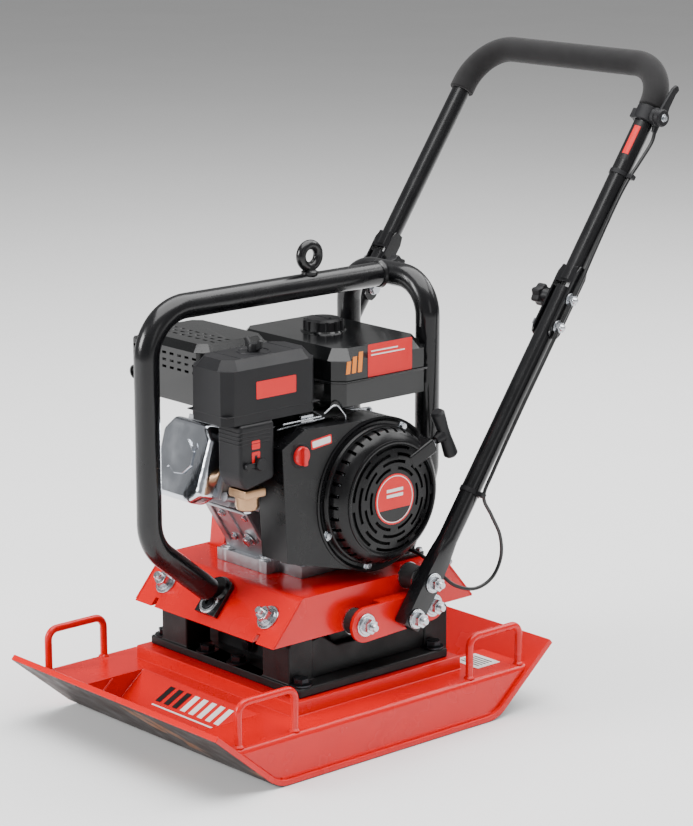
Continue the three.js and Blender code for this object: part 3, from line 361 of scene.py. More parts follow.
def capped(bm):
    """A tube with its open ends filled and its faces pointing outwards."""
    bmesh.ops.holes_fill(bm, edges=[e for e in bm.edges if e.is_boundary], sides=0)
    bmesh.ops.recalc_face_normals(bm, faces=bm.faces)
    return bm


def bent(corners, radius, bend, sides=28, steps=10):
    """A round bar along straight runs joined by bends of one radius."""
    bm = bmesh.new()
    at = corners[0]
    bmesh.ops.create_circle(bm, segments=sides, radius=radius, matrix=facing(at, corners[1] - at,
        Vector((0.3, 0.5, 0.8))))
    ring = bm.edges[:]
    for i in range(1, len(corners)):
        into = (corners[i] - corners[i - 1]).normalized()
        last = i == len(corners) - 1
        out = into if last else (corners[i + 1] - corners[i]).normalized()
        turn = into.angle(out, 0)
        stop = corners[i] - into * bend * math.tan(turn / 2)
        if (stop - at).length > 1e-6:
            ends, ring = drawn_on(bm, ring)
            bmesh.ops.translate(bm, vec=stop - at, verts=ends)
        if not last:
            side = (out - into * into.dot(out)).normalized()
            made = bmesh.ops.spin(bm, geom=ring, cent=stop + side * bend,
                axis=into.cross(out).normalized(), angle=turn, steps=steps)["geom_last"]
            ring = [g for g in made if isinstance(g, bmesh.types.BMEdge)]
            at = corners[i] + out * bend * math.tan(turn / 2)
    bmesh.ops.remove_doubles(bm, verts=bm.verts, dist=1e-7)
    return capped(bm)


def copy_of(node, width=0.0, segments=2, sharper=30):
    """A frame node's shape, merged, with its flat faces whole and its edges rounded."""
    bm = bmesh.new()
    bm.from_mesh(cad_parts[node].data)
    bmesh.ops.remove_doubles(bm, verts=bm.verts, dist=1e-5)
    bmesh.ops.dissolve_limit(bm, angle_limit=math.radians(1), verts=bm.verts, edges=bm.edges)
    return rounded(bm, width, segments, sharper) if width else bm


def carved(bm, *cutters):
    """The shape with the cutters' shapes taken out of it."""
    stand_ins = []
    for part in (bm, joined(*cutters)):
        mesh = bpy.data.meshes.new("carving")
        part.to_mesh(mesh)
        part.free()
        stand_in = bpy.data.objects.new("carving", mesh)
        scene.collection.objects.link(stand_in)
        stand_ins.append(stand_in)
    cut = stand_ins[0].modifiers.new("cut", "BOOLEAN")
    cut.operation, cut.solver, cut.object = "DIFFERENCE", "EXACT", stand_ins[1]
    bpy.context.view_layer.update()
    result = bmesh.new()
    result.from_object(stand_ins[0], bpy.context.evaluated_depsgraph_get())
    for stand_in in stand_ins:
        mesh = stand_in.data
        bpy.data.objects.remove(stand_in)
        bpy.data.meshes.remove(mesh)
    return result


def ring_of(count, make, radius, place, start=0.0):
    """Copies of a shape evenly round a circle in a frame's own XY plane."""
    turned = []
    for i in range(count):
        spot = Matrix.Rotation(start + 2 * math.pi * i / count, 4, "Z") @ Matrix.Translation((radius, 0,
            0))
        turned.append(moved(make(), place @ spot))
    return joined(*turned)


def weld(a, b, radius=2.6 * MM, ripple=2.4 * MM):
    """A run of weld: a rounded bead with the ripples that each pool leaves."""
    a, b = Vector(a), Vector(b)
    bm = bar(a, b, radius, 8)
    long_edges = [e for e in bm.edges if abs((e.verts[0].co - e.verts[1].co).length -
        (b - a).length) < 1e-5]
    cuts = max(4, int((b - a).length / ripple * 2))
    bmesh.ops.subdivide_edges(bm, edges=long_edges, cuts=cuts, use_grid_fill=True)
    run = (b - a).normalized()
    bm.normal_update()
    for v in bm.verts:
        along = (v.co - a).dot(run)
        core = a + run * along
        v.co = core + (v.co - core) * (0.88 + 0.12 * math.sin(2 * math.pi * along / ripple))
    return bm


def hexagon(at, axis, across, height, width=0.7 * MM):
    """A nut or bolt head, `across` over its flats."""
    bm = bmesh.new()
    bmesh.ops.create_cone(bm, cap_ends=True, segments=6, radius1=across / math.sqrt(3), radius2=across /
        math.sqrt(3), depth=height)
    rounded(bm, width, 2, 80)
    return moved(bm, facing(at, axis) @ Matrix.Translation((0, 0, height / 2)))


def washer(at, axis, outer, hole, height):
    profile = [(hole, 0), (outer - height / 4, 0), (outer, height / 4), (outer, height * 3 / 4),
        (outer - height / 4, height), (hole, height), (hole, 0)]
    return lathe(profile, facing(at, axis), 32)


def stud(at, axis, radius, height):
    """A threaded end with a chamfer."""
    pitch = 1.5 * MM
    profile = [(0, 0), (radius, 0)]
    turns = max(2, int(height / pitch) - 1)
    for i in range(turns):
        profile += [(radius, (i + 0.4) * pitch), (radius * 0.9, (i + 0.7) * pitch),
            (radius, (i + 1) * pitch)]
    profile += [(radius * 0.8, height), (0, height)]
    return lathe(profile, facing(at, axis), 20)


def nut_on_stud(at, axis, across, rise, plate=None):
    """A washer or two, a nut and the end of its stud, standing on a surface."""
    axis = axis.normalized()
    plate = plate or across * 0.95
    bolt = across * 0.3
    low = plate * 0.14
    parts = [washer(at, axis, plate, bolt, low)]
    parts.append(washer(at + axis * low, axis, across * 0.72, bolt, low * 0.9))
    parts.append(hexagon(at + axis * low * 1.9, axis, across, across * 0.52))
    parts.append(stud(at, axis, bolt, low * 1.9 + across * 0.52 + rise))
    return joined(*parts)


def bolt_head(at, axis, across, plate=None):
    """A washer and a flanged bolt head."""
    axis = axis.normalized()
    plate = plate or across * 0.8
    low = across * 0.14
    return joined(washer(at, axis, plate, across * 0.2, low), hexagon(at + axis * low, axis, across,
        across * 0.42), bar(at + axis * low * 0.9, at + axis * (low + across * 0.46), across * 0.36, 24))


def screw(at, axis, radius):
    """A domed screw head with a cross recess."""
    dome = [(0, radius * 0.62), (radius * 0.5, radius * 0.52), (radius * 0.86, radius * 0.28),
        (radius, 0), (0, 0)]
    place = facing(at, axis)
    arm, deep = radius * 0.62, radius * 0.4
    cross = [box((-arm, -arm / 4, deep), (arm, arm / 4, radius)), box((-arm / 4, -arm, deep),
        (arm / 4, arm, radius))]
    return carved(lathe(dome, place, 24), *(moved(c, place) for c in cross))


def label(width, height, place, corner=1.5 * MM, thick=0.35 * MM):
    """A thin sticker with round corners, in its frame's own XY plane."""
    w, h = width / 2, height / 2
    points = [(-w, -h), (w, -h), (w, h), (-w, h)]
    upright = lambda e: abs(e.verts[0].co.z - e.verts[1].co.z) > thick / 2
    return moved(rounded(slab(points, 0, thick), min(corner, w * 0.9, h * 0.9), 4, 30, upright), place)


def piece(name, body, parts, replaces=(), smooth=35):
    """One finished piece from its (material, shape) parts, riding on a body."""
    mesh = bpy.data.meshes.new(name)
    for index, (material, part) in enumerate(parts):
        mesh.materials.append(material)
        for face in part.faces:
            face.material_index = index
    whole = joined(*(part for _, part in parts))
    whole.to_mesh(mesh)
    whole.free()
    mesh.polygons.foreach_set("use_smooth", [True] * len(mesh.polygons))
    mesh.set_sharp_from_angle(angle=math.radians(smooth))
    made = bpy.data.objects.new(name, mesh)
    scene.collection.objects.link(made)
    if body:
        shading = made.modifiers.new("shading", "WEIGHTED_NORMAL")
        shading.keep_sharp = True
    if body:
        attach(made, body)
    if replaces:
        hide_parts(*replaces)
    return made


def dress(node, material):
    """Gives a frame node that is shown as it is its material."""
    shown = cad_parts[node]
    shown.data.materials.clear()
    shown.data.materials.append(material)


# ---- base ----------------------------------------------------------------------------------
def build_base():
    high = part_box("base_pan")[1]
    sole_half = (high.y - 100 * MM)
    pan = copy_of("base_pan")
    across = lambda e: abs(e.verts[0].co.x - e.verts[1].co.x) > 0.2
    bend = lambda e: across(e) and all(abs(v.co.y) < sole_half + 5 * MM for v in e.verts)
    rounded(pan, 14 * MM, 6, 20, bend)
    rounded(pan, 1.3 * MM, 2, 50)
    made = piece("base_plate", "chassis", [(RED_COAT, pan)], ["base_pan"])
    # Faces that point down take the sole material: painted shade on the underside, with painted
    # reflections in brown patches.
    made.data.materials.append(SOLE_SHADE_AND_REFLECTION)
    for face in made.data.polygons:
        if face.normal.z < -0.3:
            face.material_index = 1

    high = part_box("base_cover")[1]
    cover = copy_of("base_cover")
    edge = lambda e: all(abs(v.co.x) > high.x - 1 * MM and v.co.z > 50 * MM for v in e.verts)
    rounded(cover, 8 * MM, 5, 30, edge)
    rounded(cover, 1.6 * MM, 2, 35)
    bead = 2.4 * MM
    run = high.y - 70 * MM
    beads = [weld((s * high.x, -run, 9 * MM), (s * high.x, run, 9 * MM), bead) for _, s in SIDES]
    for _, s in SIDES:
        for _, e in ENDS:
            reach = Vector((s * 118 * MM, e * 224 * MM, 34 * MM))
            beads.append(weld(reach, reach + Vector((0, -e * 30 * MM, 25 * MM)), bead))
    piece("base_box", "chassis", [(RED_COAT, joined(cover, *beads))], ["base_cover"])

    for end_name, e in ENDS:
        for side_name, s in SIDES:
            node = f"lift_loop_{end_name}_{side_name}"
            a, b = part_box(node)
            x, rod = (a.x + b.x) / 2, (b.x - a.x) / 2
            top, foot = b.z - rod, a.z - 0.6 * MM
            ys = (a.y + rod, b.y - rod)
            loop = bent([Vector((x, ys[0], foot)), Vector((x, ys[0], top)), Vector((x, ys[1], top)),
                Vector((x, ys[1], foot))], rod, 14 * MM, 20, 8)
            feet = [lathe([(0, 0), (rod + 2.5 * MM, 0), (rod + 1.6 * MM, 1.4 * MM), (rod, 3 * MM),
                (0, 3 * MM)], facing(Vector((x, y, a.z - 0.2 * MM)), Z), 24) for y in ys]
            piece(f"hand_loop_{end_name}_{side_name}", "chassis",
                [(RED_COAT, joined(loop, *feet))], [node])


def build_apron_mark():
    """A mark of slanted bars on the front apron, and a sticker at the rear."""
    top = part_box("base_cover")[1].z
    slope = math.radians(40)
    edge_y = -122 * MM
    out = Vector((0, -math.sin(slope), math.cos(slope)))
    spot = Vector((0, edge_y, top)) + Vector((0, -math.cos(slope), -math.sin(slope))) * 50 * MM
    place = facing(spot + out * 0.15 * MM, out)
    lean = 8 * MM
    bars = {"black": [], "white": []}
    for i in range(8):
        x = (i - 3.5) * 17 * MM + 6 * MM
        w, h = 4.8 * MM, 13 * MM
        points = [(x - w, -h), (x + w, -h), (x + w + lean, h), (x - w + lean, h)]
        bars["black" if i < 3 else "white"].append(slab(points, 0, 0.3 * MM, place))
    line = slab(in_mm((-60, -20), (74, -20), (75, -18), (-59, -18)), 0, 0.3 * MM, place)
    piece("apron_mark", "chassis", [(BLACK_VINYL, joined(*bars["black"])),
        (WHITE_VINYL, joined(*bars["white"], line))])
    strip = Matrix.Translation((152 * MM, 205 * MM, 62 * MM + 0.2 * MM))
    rows = [label(34 * MM, 2 * MM, strip @ Matrix.Translation((0, (i - 2) * 6 * MM, 0.3 * MM)), 0.5 * MM)
        for i in range(5)]
    piece("strip_sticker", "chassis", [(WHITE_VINYL, label(48 * MM, 42 * MM, strip)),
        (BLACK_VINYL, joined(*rows))])


# ---- exciter -------------------------------------------------------------------------------
def build_exciter():
    low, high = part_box("exciter_housing")
    flange_top = low.z + 12 * MM
    casting = copy_of("exciter_housing", 2.6 * MM, 3, 25)
    barrel_end = 107 * MM
    cap = lathe(in_mm((0, -0.5), (46, -0.5), (46, 5), (42, 8), (24, 8), (21, 11), (0, 11)),
        facing(AXLE + X * barrel_end, X), 64)
    ribs = []
    for y in (-52, -22, 72, 102):
        run = [(y - 4) * MM, (y + 4) * MM]
        tall = AXLE.z - 20 * MM if abs(y - 25) < 60 else flange_top + 22 * MM
        ribs.append(box((-70 * MM, run[0], flange_top - 1 * MM), (70 * MM, run[1], tall), 2 * MM, 2))
    web = slab([(-88 * MM, flange_top - 1 * MM), (150 * MM, flange_top - 1 * MM), (156 * MM, 140 * MM),
        (146 * MM, 152 * MM), (96 * MM, 150 * MM), (70 * MM, 128 * MM), (-20 * MM, 128 * MM),
        (-46 * MM, 146 * MM), (-78 * MM, 140 * MM)], 118 * MM, 127 * MM, SIDEWAYS, 2.5 * MM, 3)
    piece("exciter_casting", "chassis", [(BLACK_CASTING, joined(casting, cap, web, *ribs))],
        ["exciter_housing"], 40)
    corner_ys = (low.y + 14 * MM, 139 * MM)
    spots = [Vector((s * (high.x - 15 * MM), y, flange_top)) for _, s in SIDES for y in corner_ys]
    spots += [Vector((x * MM, low.y + 12 * MM, flange_top)) for x in (-47, 16)]
    spots += [Vector((x * MM, 141 * MM, flange_top)) for x in (-47, 16)]
    heads = [bolt_head(spot, Z, 18 * MM, 15 * MM) for spot in spots]
    cap_bolts = ring_of(6, lambda: hexagon(Vector(), Z, 9 * MM, 5 * MM), 36 * MM,
        facing(AXLE + X * (barrel_end + 7.5 * MM), X))
    plug = bolt_head(Vector((0, -60 * MM, flange_top + 14 * MM)), -Y, 13 * MM)
    piece("exciter_bolts", "chassis", [(BLACK_OXIDE, joined(*heads, cap_bolts, plug))])

    for node in ("exciter_shaft", "eccentric_weight", "exciter_bearing_left", "exciter_bearing_right",
            "crankshaft", "clutch_pulley"):
        dress(node, TURNED_STEEL)
    dress("exciter_pulley", BLACK_CASTING)
    dress("drive_belt", BELT)
    dress("flywheel", ALLOY)


# ---- deck and its rubber mounts ----------------------------------------------------------------
def build_deck():
    deck = copy_of("engine_deck")

    def bend_line(edge):
        a, b = (v.co for v in edge.verts)
        return abs(a.x - b.x) > 100 * MM and min(a.z, b.z) > 190 * MM

    rounded(deck, 5 * MM, 4, 25, bend_line)
    rounded(deck, 1.2 * MM, 2, 40)
    front = slope_frame(-1)
    half = math.hypot(SLANT_RUN, SLANT_DROP) / 2
    notches = []
    for _, s in SIDES:
        notches.append(moved(box((s * MOUNT_X - 3.4 * MM, -half - 5 * MM, -12 * MM),
            (s * MOUNT_X + 3.4 * MM, -half + 13 * MM, 5 * MM)), front))
    deck = carved(deck, *notches)
    seams = []
    for _, s in SIDES:
        for _, e in ENDS:
            frame_here = slope_frame(e)
            x = (1 if e < 0 else -1) * s * (DECK_HIGH.x - 0.6 * MM)
            seams.append(weld(frame_here @ Vector((x, -half + 3 * MM, -0.4 * MM)),
                frame_here @ Vector((x, half - 3 * MM, -0.4 * MM)), 2.0 * MM))
    piece("deck_plate", "chassis", [(RED_COAT, joined(deck, *seams))], ["engine_deck"])

    studs = []
    for end_name, e in ENDS:
        place = slope_frame(e)
        out = place.to_3x3() @ Z
        for side_name, s in SIDES:
            node = f"shock_mount_{end_name}_{side_name}"
            spot = place @ Vector(((1 if e < 0 else -1) * s * MOUNT_X, 0, 0))
            studs.append(nut_on_stud(spot, out, 18 * MM, 9 * MM, 16.5 * MM))
            top = 6.3 * MM
            long = 26 * MM
            r = 20 * MM
            plate = 2.2 * MM
            body = [(0, 0), (r, 0), (r, 3 * MM), (r * 0.9, long * 0.3), (r * 0.87, long / 2),
                (r * 0.9, long * 0.7), (r, long - 3 * MM), (r, long), (0, long)]
            mount = facing(spot - out * (top + long), out)
            discs = [lathe([(0, h), (r + 0.8 * MM, h), (r + 0.8 * MM, h + plate), (0, h + plate)], mount,
                40) for h in (0.2 * MM, long - plate - 0.2 * MM)]
            piece(f"rubber_mount_{end_name}_{side_name}", "chassis",
                [(RUBBER, lathe(body, mount, 40)), (ZINC, joined(*discs))], [node])
    piece("deck_nuts", "chassis", [(ZINC, joined(*studs))])


# ---- handle brackets -----------------------------------------------------------------------------
def build_brackets():
    nuts = []
    for side_name, s in SIDES:
        bracket = copy_of(f"handle_bracket_{side_name}", 1.2 * MM, 3, 40)
        piece(f"handle_bracket_plate_{side_name}", "chassis", [(RED_COAT, bracket)],
            [f"handle_bracket_{side_name}"])
        low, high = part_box(f"handle_bracket_{side_name}")
        outside = high.x if s > 0 else low.x
        for name in ("front", "rear", "top"):
            node = f"handle_buffer_{name}_{side_name}"
            a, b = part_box(node)
            r = (b.z - a.z) / 2
            long = b.x - a.x
            base = Vector((a.x, (a.y + b.y) / 2, (a.z + b.z) / 2))
            body = [(0, 0), (r, 0), (r, 2 * MM), (r * 0.93, long * 0.35), (r * 0.93, long * 0.65),
                (r, long - 2 * MM), (r, long), (0, long)]
            plates = [bar(base + X * h, base + X * (h + 1.6 * MM), r + 0.5 * MM, 36)
                for h in (0.1 * MM, long - 1.7 * MM)]
            piece(f"buffer_{name}_{side_name}", "chassis",
                [(RUBBER, lathe(body, facing(base, X), 36)), (ZINC, joined(*plates))], [node])
            if name != "top":
                nuts.append(nut_on_stud(Vector((outside, base.y, base.z)), X * s, 17 * MM, 7 * MM,
                    15 * MM))
    piece("bracket_nuts", "chassis", [(ZINC, joined(*nuts))])


# ---- cage ------------------------------------------------------------------------------------------
def build_cage():
    hoop_low, hoop_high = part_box("cage_front_hoop")
    top = hoop_high.z - CAGE_TUBE
    front_y = hoop_low.y + CAGE_TUBE
    slope = slope_frame(-1)
    foot = slope @ Vector((0, 4 * MM, CAGE_TUBE * 1.3))
    knee = Vector((0, front_y, 270 * MM))
    path = [Vector((0, hoop_high.y - 0.2 * MM, top)), Vector((0, front_y, top)), knee, foot]
    tube = bent(path, CAGE_TUBE, 62 * MM, 40, 16)
    plate = slab(in_mm((-20, -24), (20, -24), (20, 22), (15, 27), (-15, 27), (-20, 22)), 0.3 * MM,
        7 * MM, slope, 1.2 * MM, 2)
    gusset = lathe([(0, 0), (CAGE_TUBE + 3 * MM, 0), (CAGE_TUBE + 1.4 * MM, 3 * MM), (CAGE_TUBE, 5 * MM),
        (0, 5 * MM)], slope @ Matrix.Translation((0, 12 * MM, 6 * MM)), 36)
    collar = lathe([(CAGE_TUBE - 2 * MM, 0), (CAGE_TUBE + 3 * MM, 0), (CAGE_TUBE + 1.5 * MM, 4 * MM),
        (CAGE_TUBE - 2 * MM, 5 * MM), (CAGE_TUBE - 2 * MM, 0)],
        facing(Vector((0, hoop_high.y + 0.2 * MM, top)), -Y), 36)
    piece("cage_hoop", "chassis", [(BLACK_COAT, joined(tube, plate, gusset, collar))],
        ["cage_front_hoop"])
    spot = slope @ mm(0, -9, 7)
    out = slope.to_3x3() @ Z
    ring = lathe(in_mm((9, 0), (15, 0), (15, 2), (13.5, 3.4), (10.5, 3.4), (9, 2), (9, 0)),
        facing(spot, out), 40)
    head = carved(bar(spot, spot + out * 4.6 * MM, 9 * MM, 32, width=0.8 * MM),
        hexagon(spot + out * 1.4 * MM, out, 8 * MM, 6 * MM, 0.1 * MM))
    piece("cage_foot_bolt", "chassis", [(ZINC, ring), (BLACK_OXIDE, head)])

    low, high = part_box("cage_rear_arch")
    leg_x = 77 * MM
    y = high.y - CAGE_TUBE
    foot_y = DECK_HIGH.y - SLANT_RUN - 25 * MM
    deck = DECK_HIGH.z
    path = [Vector((-leg_x, foot_y, deck - 2 * MM)), Vector((-leg_x, y, deck + 110 * MM)),
        Vector((-leg_x, y, top)), Vector((leg_x, y, top)), Vector((leg_x, y, deck + 110 * MM)),
        Vector((leg_x, foot_y, deck - 2 * MM))]
    arch = bent(path, CAGE_TUBE, 48 * MM, 40, 14)
    plates, bolts, rings = [], [], []
    for s in (-1, 1):
        centre = Vector((s * leg_x, foot_y, 0))
        plates.append(box(centre + Vector((-23, -23, 0)) * MM + Z * (low.z),
            centre + Vector((23, 23, 0)) * MM + Z * (low.z + 6 * MM), 1.5 * MM))
        rings.append(lathe([(0, 0), (CAGE_TUBE + 4 * MM, 0), (CAGE_TUBE + 2 * MM, 3 * MM),
            (CAGE_TUBE, 6 * MM), (0, 6 * MM)], facing(centre + Z * (low.z + 5.6 * MM), Z), 36))
        for dx, dy in ((-18, -18), (18, -18), (18, 18), (-18, 18)):
            bolts.append(bolt_head(centre + Vector((dx, dy, 0)) * MM + Z * (low.z + 6 * MM), Z, 8 * MM,
                5 * MM))
    piece("cage_arch", "chassis", [(BLACK_COAT, joined(arch, *plates, *rings))],
        ["cage_rear_arch"])
    piece("cage_bolts", "chassis", [(ZINC, joined(*bolts))])

    low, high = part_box("lifting_eye")
    outer = (high.y - low.y) / 2
    wire = 6.5 * MM
    centre = Vector((0, (low.y + high.y) / 2, high.z - outer))
    eye = bmesh.new()
    bmesh.ops.create_circle(eye, segments=20, radius=wire, matrix=Matrix.Translation((outer - wire, 0,
        0)) @ ON_ITS_BACK)
    bmesh.ops.spin(eye, geom=eye.verts[:] + eye.edges[:], cent=(0, 0, 0), axis=(0, 0, 1),
        angle=2 * math.pi, steps=48, use_merge=True)
    bmesh.ops.recalc_face_normals(eye, faces=eye.faces)
    moved(eye, facing(centre, X))
    neck = lathe(in_mm((0, -2), (11, -2), (11, 1.5), (8, 3.5), (7.5, 10), (0, 10)),
        facing(Vector((0, centre.y, low.z)), Z), 32)
    piece("lifting_ring", "chassis", [(BLACK_COAT, joined(eye, neck))], ["lifting_eye"])


# ---- handle ----------------------------------------------------------------------------------------
def build_handle():
    for side_name, s in SIDES:
        x = s * HANDLE_X
        arm_end = LOCK_AT + 14 * MM
        bm = bmesh.new()
        bmesh.ops.create_circle(bm, segments=32, radius=1.0)
        ring = bm.edges[:]
        # (height, half width, half depth, squareness) up the arm, flat at its foot and round above
        stations = [(-14, 9, 13, 0.9), (-12, 10.6, 14.6, 0.9), (60, 10.6, 14.6, 0.9),
            (86, 11, 14.4, 0.6), (104, 12.6, 13.4, 0.15), (112, 13, 13, 0)]
        reach = (1, 1)  # the last station's half width and half depth
        for i, (height, wide, deep, square) in enumerate(stations):
            if i:
                verts, ring = drawn_on(bm, ring)
            else:
                verts = bm.verts[:]
            angles = [math.atan2(v.co.y / reach[1], v.co.x / reach[0]) for v in verts]
            reach = (wide, deep)
            for v, angle in zip(verts, angles):
                c, n = math.cos(angle), math.sin(angle)
                stretch = 1 / max(abs(c), abs(n)) ** square
                v.co = Vector((c * wide * MM * stretch, n * deep * MM * stretch, height * MM))
        verts, ring = drawn_on(bm, ring)
        bmesh.ops.translate(bm, vec=(0, 0, arm_end - stations[-1][0] * MM), verts=verts)
        arm = moved(capped(bm), HANDLE @ Matrix.Translation((x, 0, 0)))
        piece(f"handle_arm_{side_name}", "chassis", [(BLACK_COAT, arm)],
            [f"handle_lower_{side_name}"])
        side = HANDLE.to_3x3() @ (X * s)
        nuts = []
        for height, across in ((0, 17), (51, 16)):
            spot = HANDLE @ Vector((x + s * 11 * MM, 0, height * MM))
            nuts.append(nut_on_stud(spot, side, across * MM, 6 * MM, 13 * MM))
            inner = HANDLE @ Vector((x - s * 11 * MM, 0, height * MM))
            nuts.append(washer(inner, -side, 13 * MM, 5 * MM, 1.6 * MM))
        piece(f"arm_nuts_{side_name}", "chassis", [(ZINC, joined(*nuts))])

    start = LOCK_AT + 24 * MM
    path = [Vector((-HANDLE_X, 0, start)), Vector((-HANDLE_X, 0, HANDLE_END)),
        Vector((HANDLE_X, 0, HANDLE_END)), Vector((HANDLE_X, 0, start))]
    tube = bent(path, HANDLE_TUBE, 62 * MM, 36, 18)
    cheeks, bolts = [], []
    for _, s in SIDES:
        x = s * HANDLE_X
        for side in (-1, 1):
            inner = HANDLE_TUBE + 0.3 * MM
            near, far = x + side * inner, x + side * (inner + 3.2 * MM)
            cheek = slab([(-11 * MM, FOLD_AT - 8 * MM), (-8 * MM, FOLD_AT - 15 * MM),
                (0, FOLD_AT - 18 * MM), (8 * MM, FOLD_AT - 15 * MM), (11 * MM, FOLD_AT - 8 * MM),
                (11 * MM, LOCK_AT + 34 * MM), (7 * MM, LOCK_AT + 46 * MM), (-7 * MM, LOCK_AT + 46 * MM),
                (-11 * MM, LOCK_AT + 34 * MM)], min(near, far), max(near, far), SIDEWAYS, 0.9 * MM, 2)
            cheeks.append(cheek)
        saddle = slab([(-11 * MM, LOCK_AT + 20 * MM), (11 * MM, LOCK_AT + 20 * MM),
            (11 * MM, LOCK_AT + 44 * MM), (-11 * MM, LOCK_AT + 44 * MM)], x - 14 * MM, x + 14 * MM,
            SIDEWAYS, 1 * MM)
        cheeks.append(saddle)
        outer = x + s * (HANDLE_TUBE + 3.6 * MM)
        inner = x - s * (HANDLE_TUBE + 3.6 * MM)
        for height in (FOLD_AT, LOCK_AT):
            bolts.append(washer(Vector((outer, 0, height)), X * s, 8.5 * MM, 4 * MM, 1.4 * MM))
            bolts.append(hexagon(Vector((outer + s * 1.4 * MM, 0, height)), X * s, 13 * MM, 6 * MM))
            bolts.append(lathe(in_mm((0, 0), (5, 0), (4.4, 3), (2.6, 5), (0, 5.6)),
                facing(Vector((outer + s * 7 * MM, 0, height)), X * s), 24))
        bolts.append(washer(Vector((inner, 0, FOLD_AT)), -X * s, 8.5 * MM, 4 * MM, 1.4 * MM))
        bolts.append(hexagon(Vector((inner - s * 1.4 * MM, 0, FOLD_AT)), -X * s, 13 * MM, 5.5 * MM))
    piece("handle_frame", "upper_handle",
        [(BLACK_COAT, moved(joined(tube, *cheeks), HANDLE))], ["handle_upper"])
    piece("fold_bolts", "upper_handle", [(ZINC, moved(joined(*bolts), HANDLE))])

    sleeve = 17.5 * MM
    path = [Vector((-HANDLE_X, 0, GRIP_START[-1])), Vector((-HANDLE_X, 0, HANDLE_END)),
        Vector((HANDLE_X, 0, HANDLE_END)), Vector((HANDLE_X, 0, GRIP_START[1]))]
    foam = rounded(bent(path, sleeve, 62 * MM, 40, 24), 2.4 * MM, 3, 60)
    grip = piece("grip_sleeve", "upper_handle", [(FOAM, moved(foam, HANDLE))], ["grip_foam"])
    layers = [(BLACK_VINYL, 668, 726, 62, 0.2), (RED_VINYL, 676, 718, 40, 0.35)]
    sticker = []
    for material, low, high, width, lift in layers:
        reach = HANDLE_TUBE + lift * MM
        turns = [math.radians(-70 + width * (i / 12 - 0.5)) for i in range(13)]
        outline = [(reach * math.cos(a), reach * math.sin(a)) for a in turns]
        outline += [((HANDLE_TUBE - 0.5 * MM) * math.cos(a), (HANDLE_TUBE - 0.5 * MM) * math.sin(a))
            for a in reversed(turns)]
        sticker.append((material, slab(outline, low * MM, high * MM,
            HANDLE @ Matrix.Translation((HANDLE_X, 0, 0)))))
    piece("handle_sticker", "upper_handle", sticker)

    for side_name, s in SIDES:
        low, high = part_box(f"lock_knob_{side_name}")
        inner = HANDLE_X - HANDLE_TUBE - 3.8 * MM
        lobes, r = 6, 15 * MM
        points = []
        for i in range(lobes * 10):
            a = 2 * math.pi * i / (lobes * 10)
            reach = r - 1.6 * MM + 1.6 * MM * math.cos(lobes * a)
            points.append((reach * math.cos(a), reach * math.sin(a)))
        place = HANDLE @ facing(Vector((s * (inner - 26 * MM), 0, LOCK_AT)), X * s)
        star = slab(points, 0, 14 * MM, None, 2.2 * MM, 3, 60)
        hub = lathe(in_mm((0, 13), (10, 13), (9, 15), (8, 24), (0, 24)), steps=32)
        dimple = lathe(in_mm((0, -0.6), (6, -0.6), (7, 0.6), (0, 0.6)), steps=32)
        piece(f"star_knob_{side_name}", f"lock_knob_{side_name}",
            [(NYLON, moved(joined(star, hub, dimple), place)),
            (ZINC, moved(bar((0, 0, 23.5 * MM), (0, 0, 25.6 * MM), 5 * MM), place))],
            [f"lock_knob_{side_name}"])


# ---- throttle and its cable ------------------------------------------------------------------------
def through(points, count):
    """Even points along a smooth curve through the given ones."""
    points = [Vector(p) for p in points]
    ends = [points[0] * 2 - points[1], *points, points[-1] * 2 - points[-2]]
    dense = []
    for a, b, c, d in zip(ends, ends[1:], ends[2:], ends[3:]):
        for i in range(16):
            t = i / 16
            dense.append(0.5 * (2 * b + (c - a) * t + (2 * a - 5 * b + 4 * c - d) * t * t +
                (3 * b - a - 3 * c + d) * t ** 3))
    dense.append(points[-1])
    run = [0.0]
    for a, b in zip(dense, dense[1:]):
        run.append(run[-1] + (b - a).length)
    spaced, k = [], 0
    for i in range(count):
        want = run[-1] * i / (count - 1)
        while k < len(run) - 2 and run[k + 1] < want:
            k += 1
        share = (want - run[k]) / max(run[k + 1] - run[k], 1e-9)
        spaced.append(dense[k].lerp(dense[k + 1], min(1.0, share)))
    return spaced


def hose(points, radius, sides=14):
    """A round sleeve along a smooth run of points."""
    bm = bmesh.new()
    rings, normal = [], None
    for i, point in enumerate(points):
        along = (points[min(i + 1, len(points) - 1)] - points[max(i - 1, 0)]).normalized()
        if normal is None:
            normal = along.orthogonal().normalized()
        normal = (normal - along * normal.dot(along)).normalized()
        other = along.cross(normal)
        turns = [2 * math.pi * k / sides for k in range(sides)]
        rings.append([bm.verts.new(point + (normal * math.cos(a) + other * math.sin(a)) * radius)
            for a in turns])
    for a, b in zip(rings, rings[1:]):
        for k in range(sides):
            bm.faces.new((a[k], a[(k + 1) % sides], b[(k + 1) % sides], b[k]))
    bm.faces.new(rings[0])
    bm.faces.new(rings[-1])
    bmesh.ops.recalc_face_normals(bm, faces=bm.faces)
    return bm


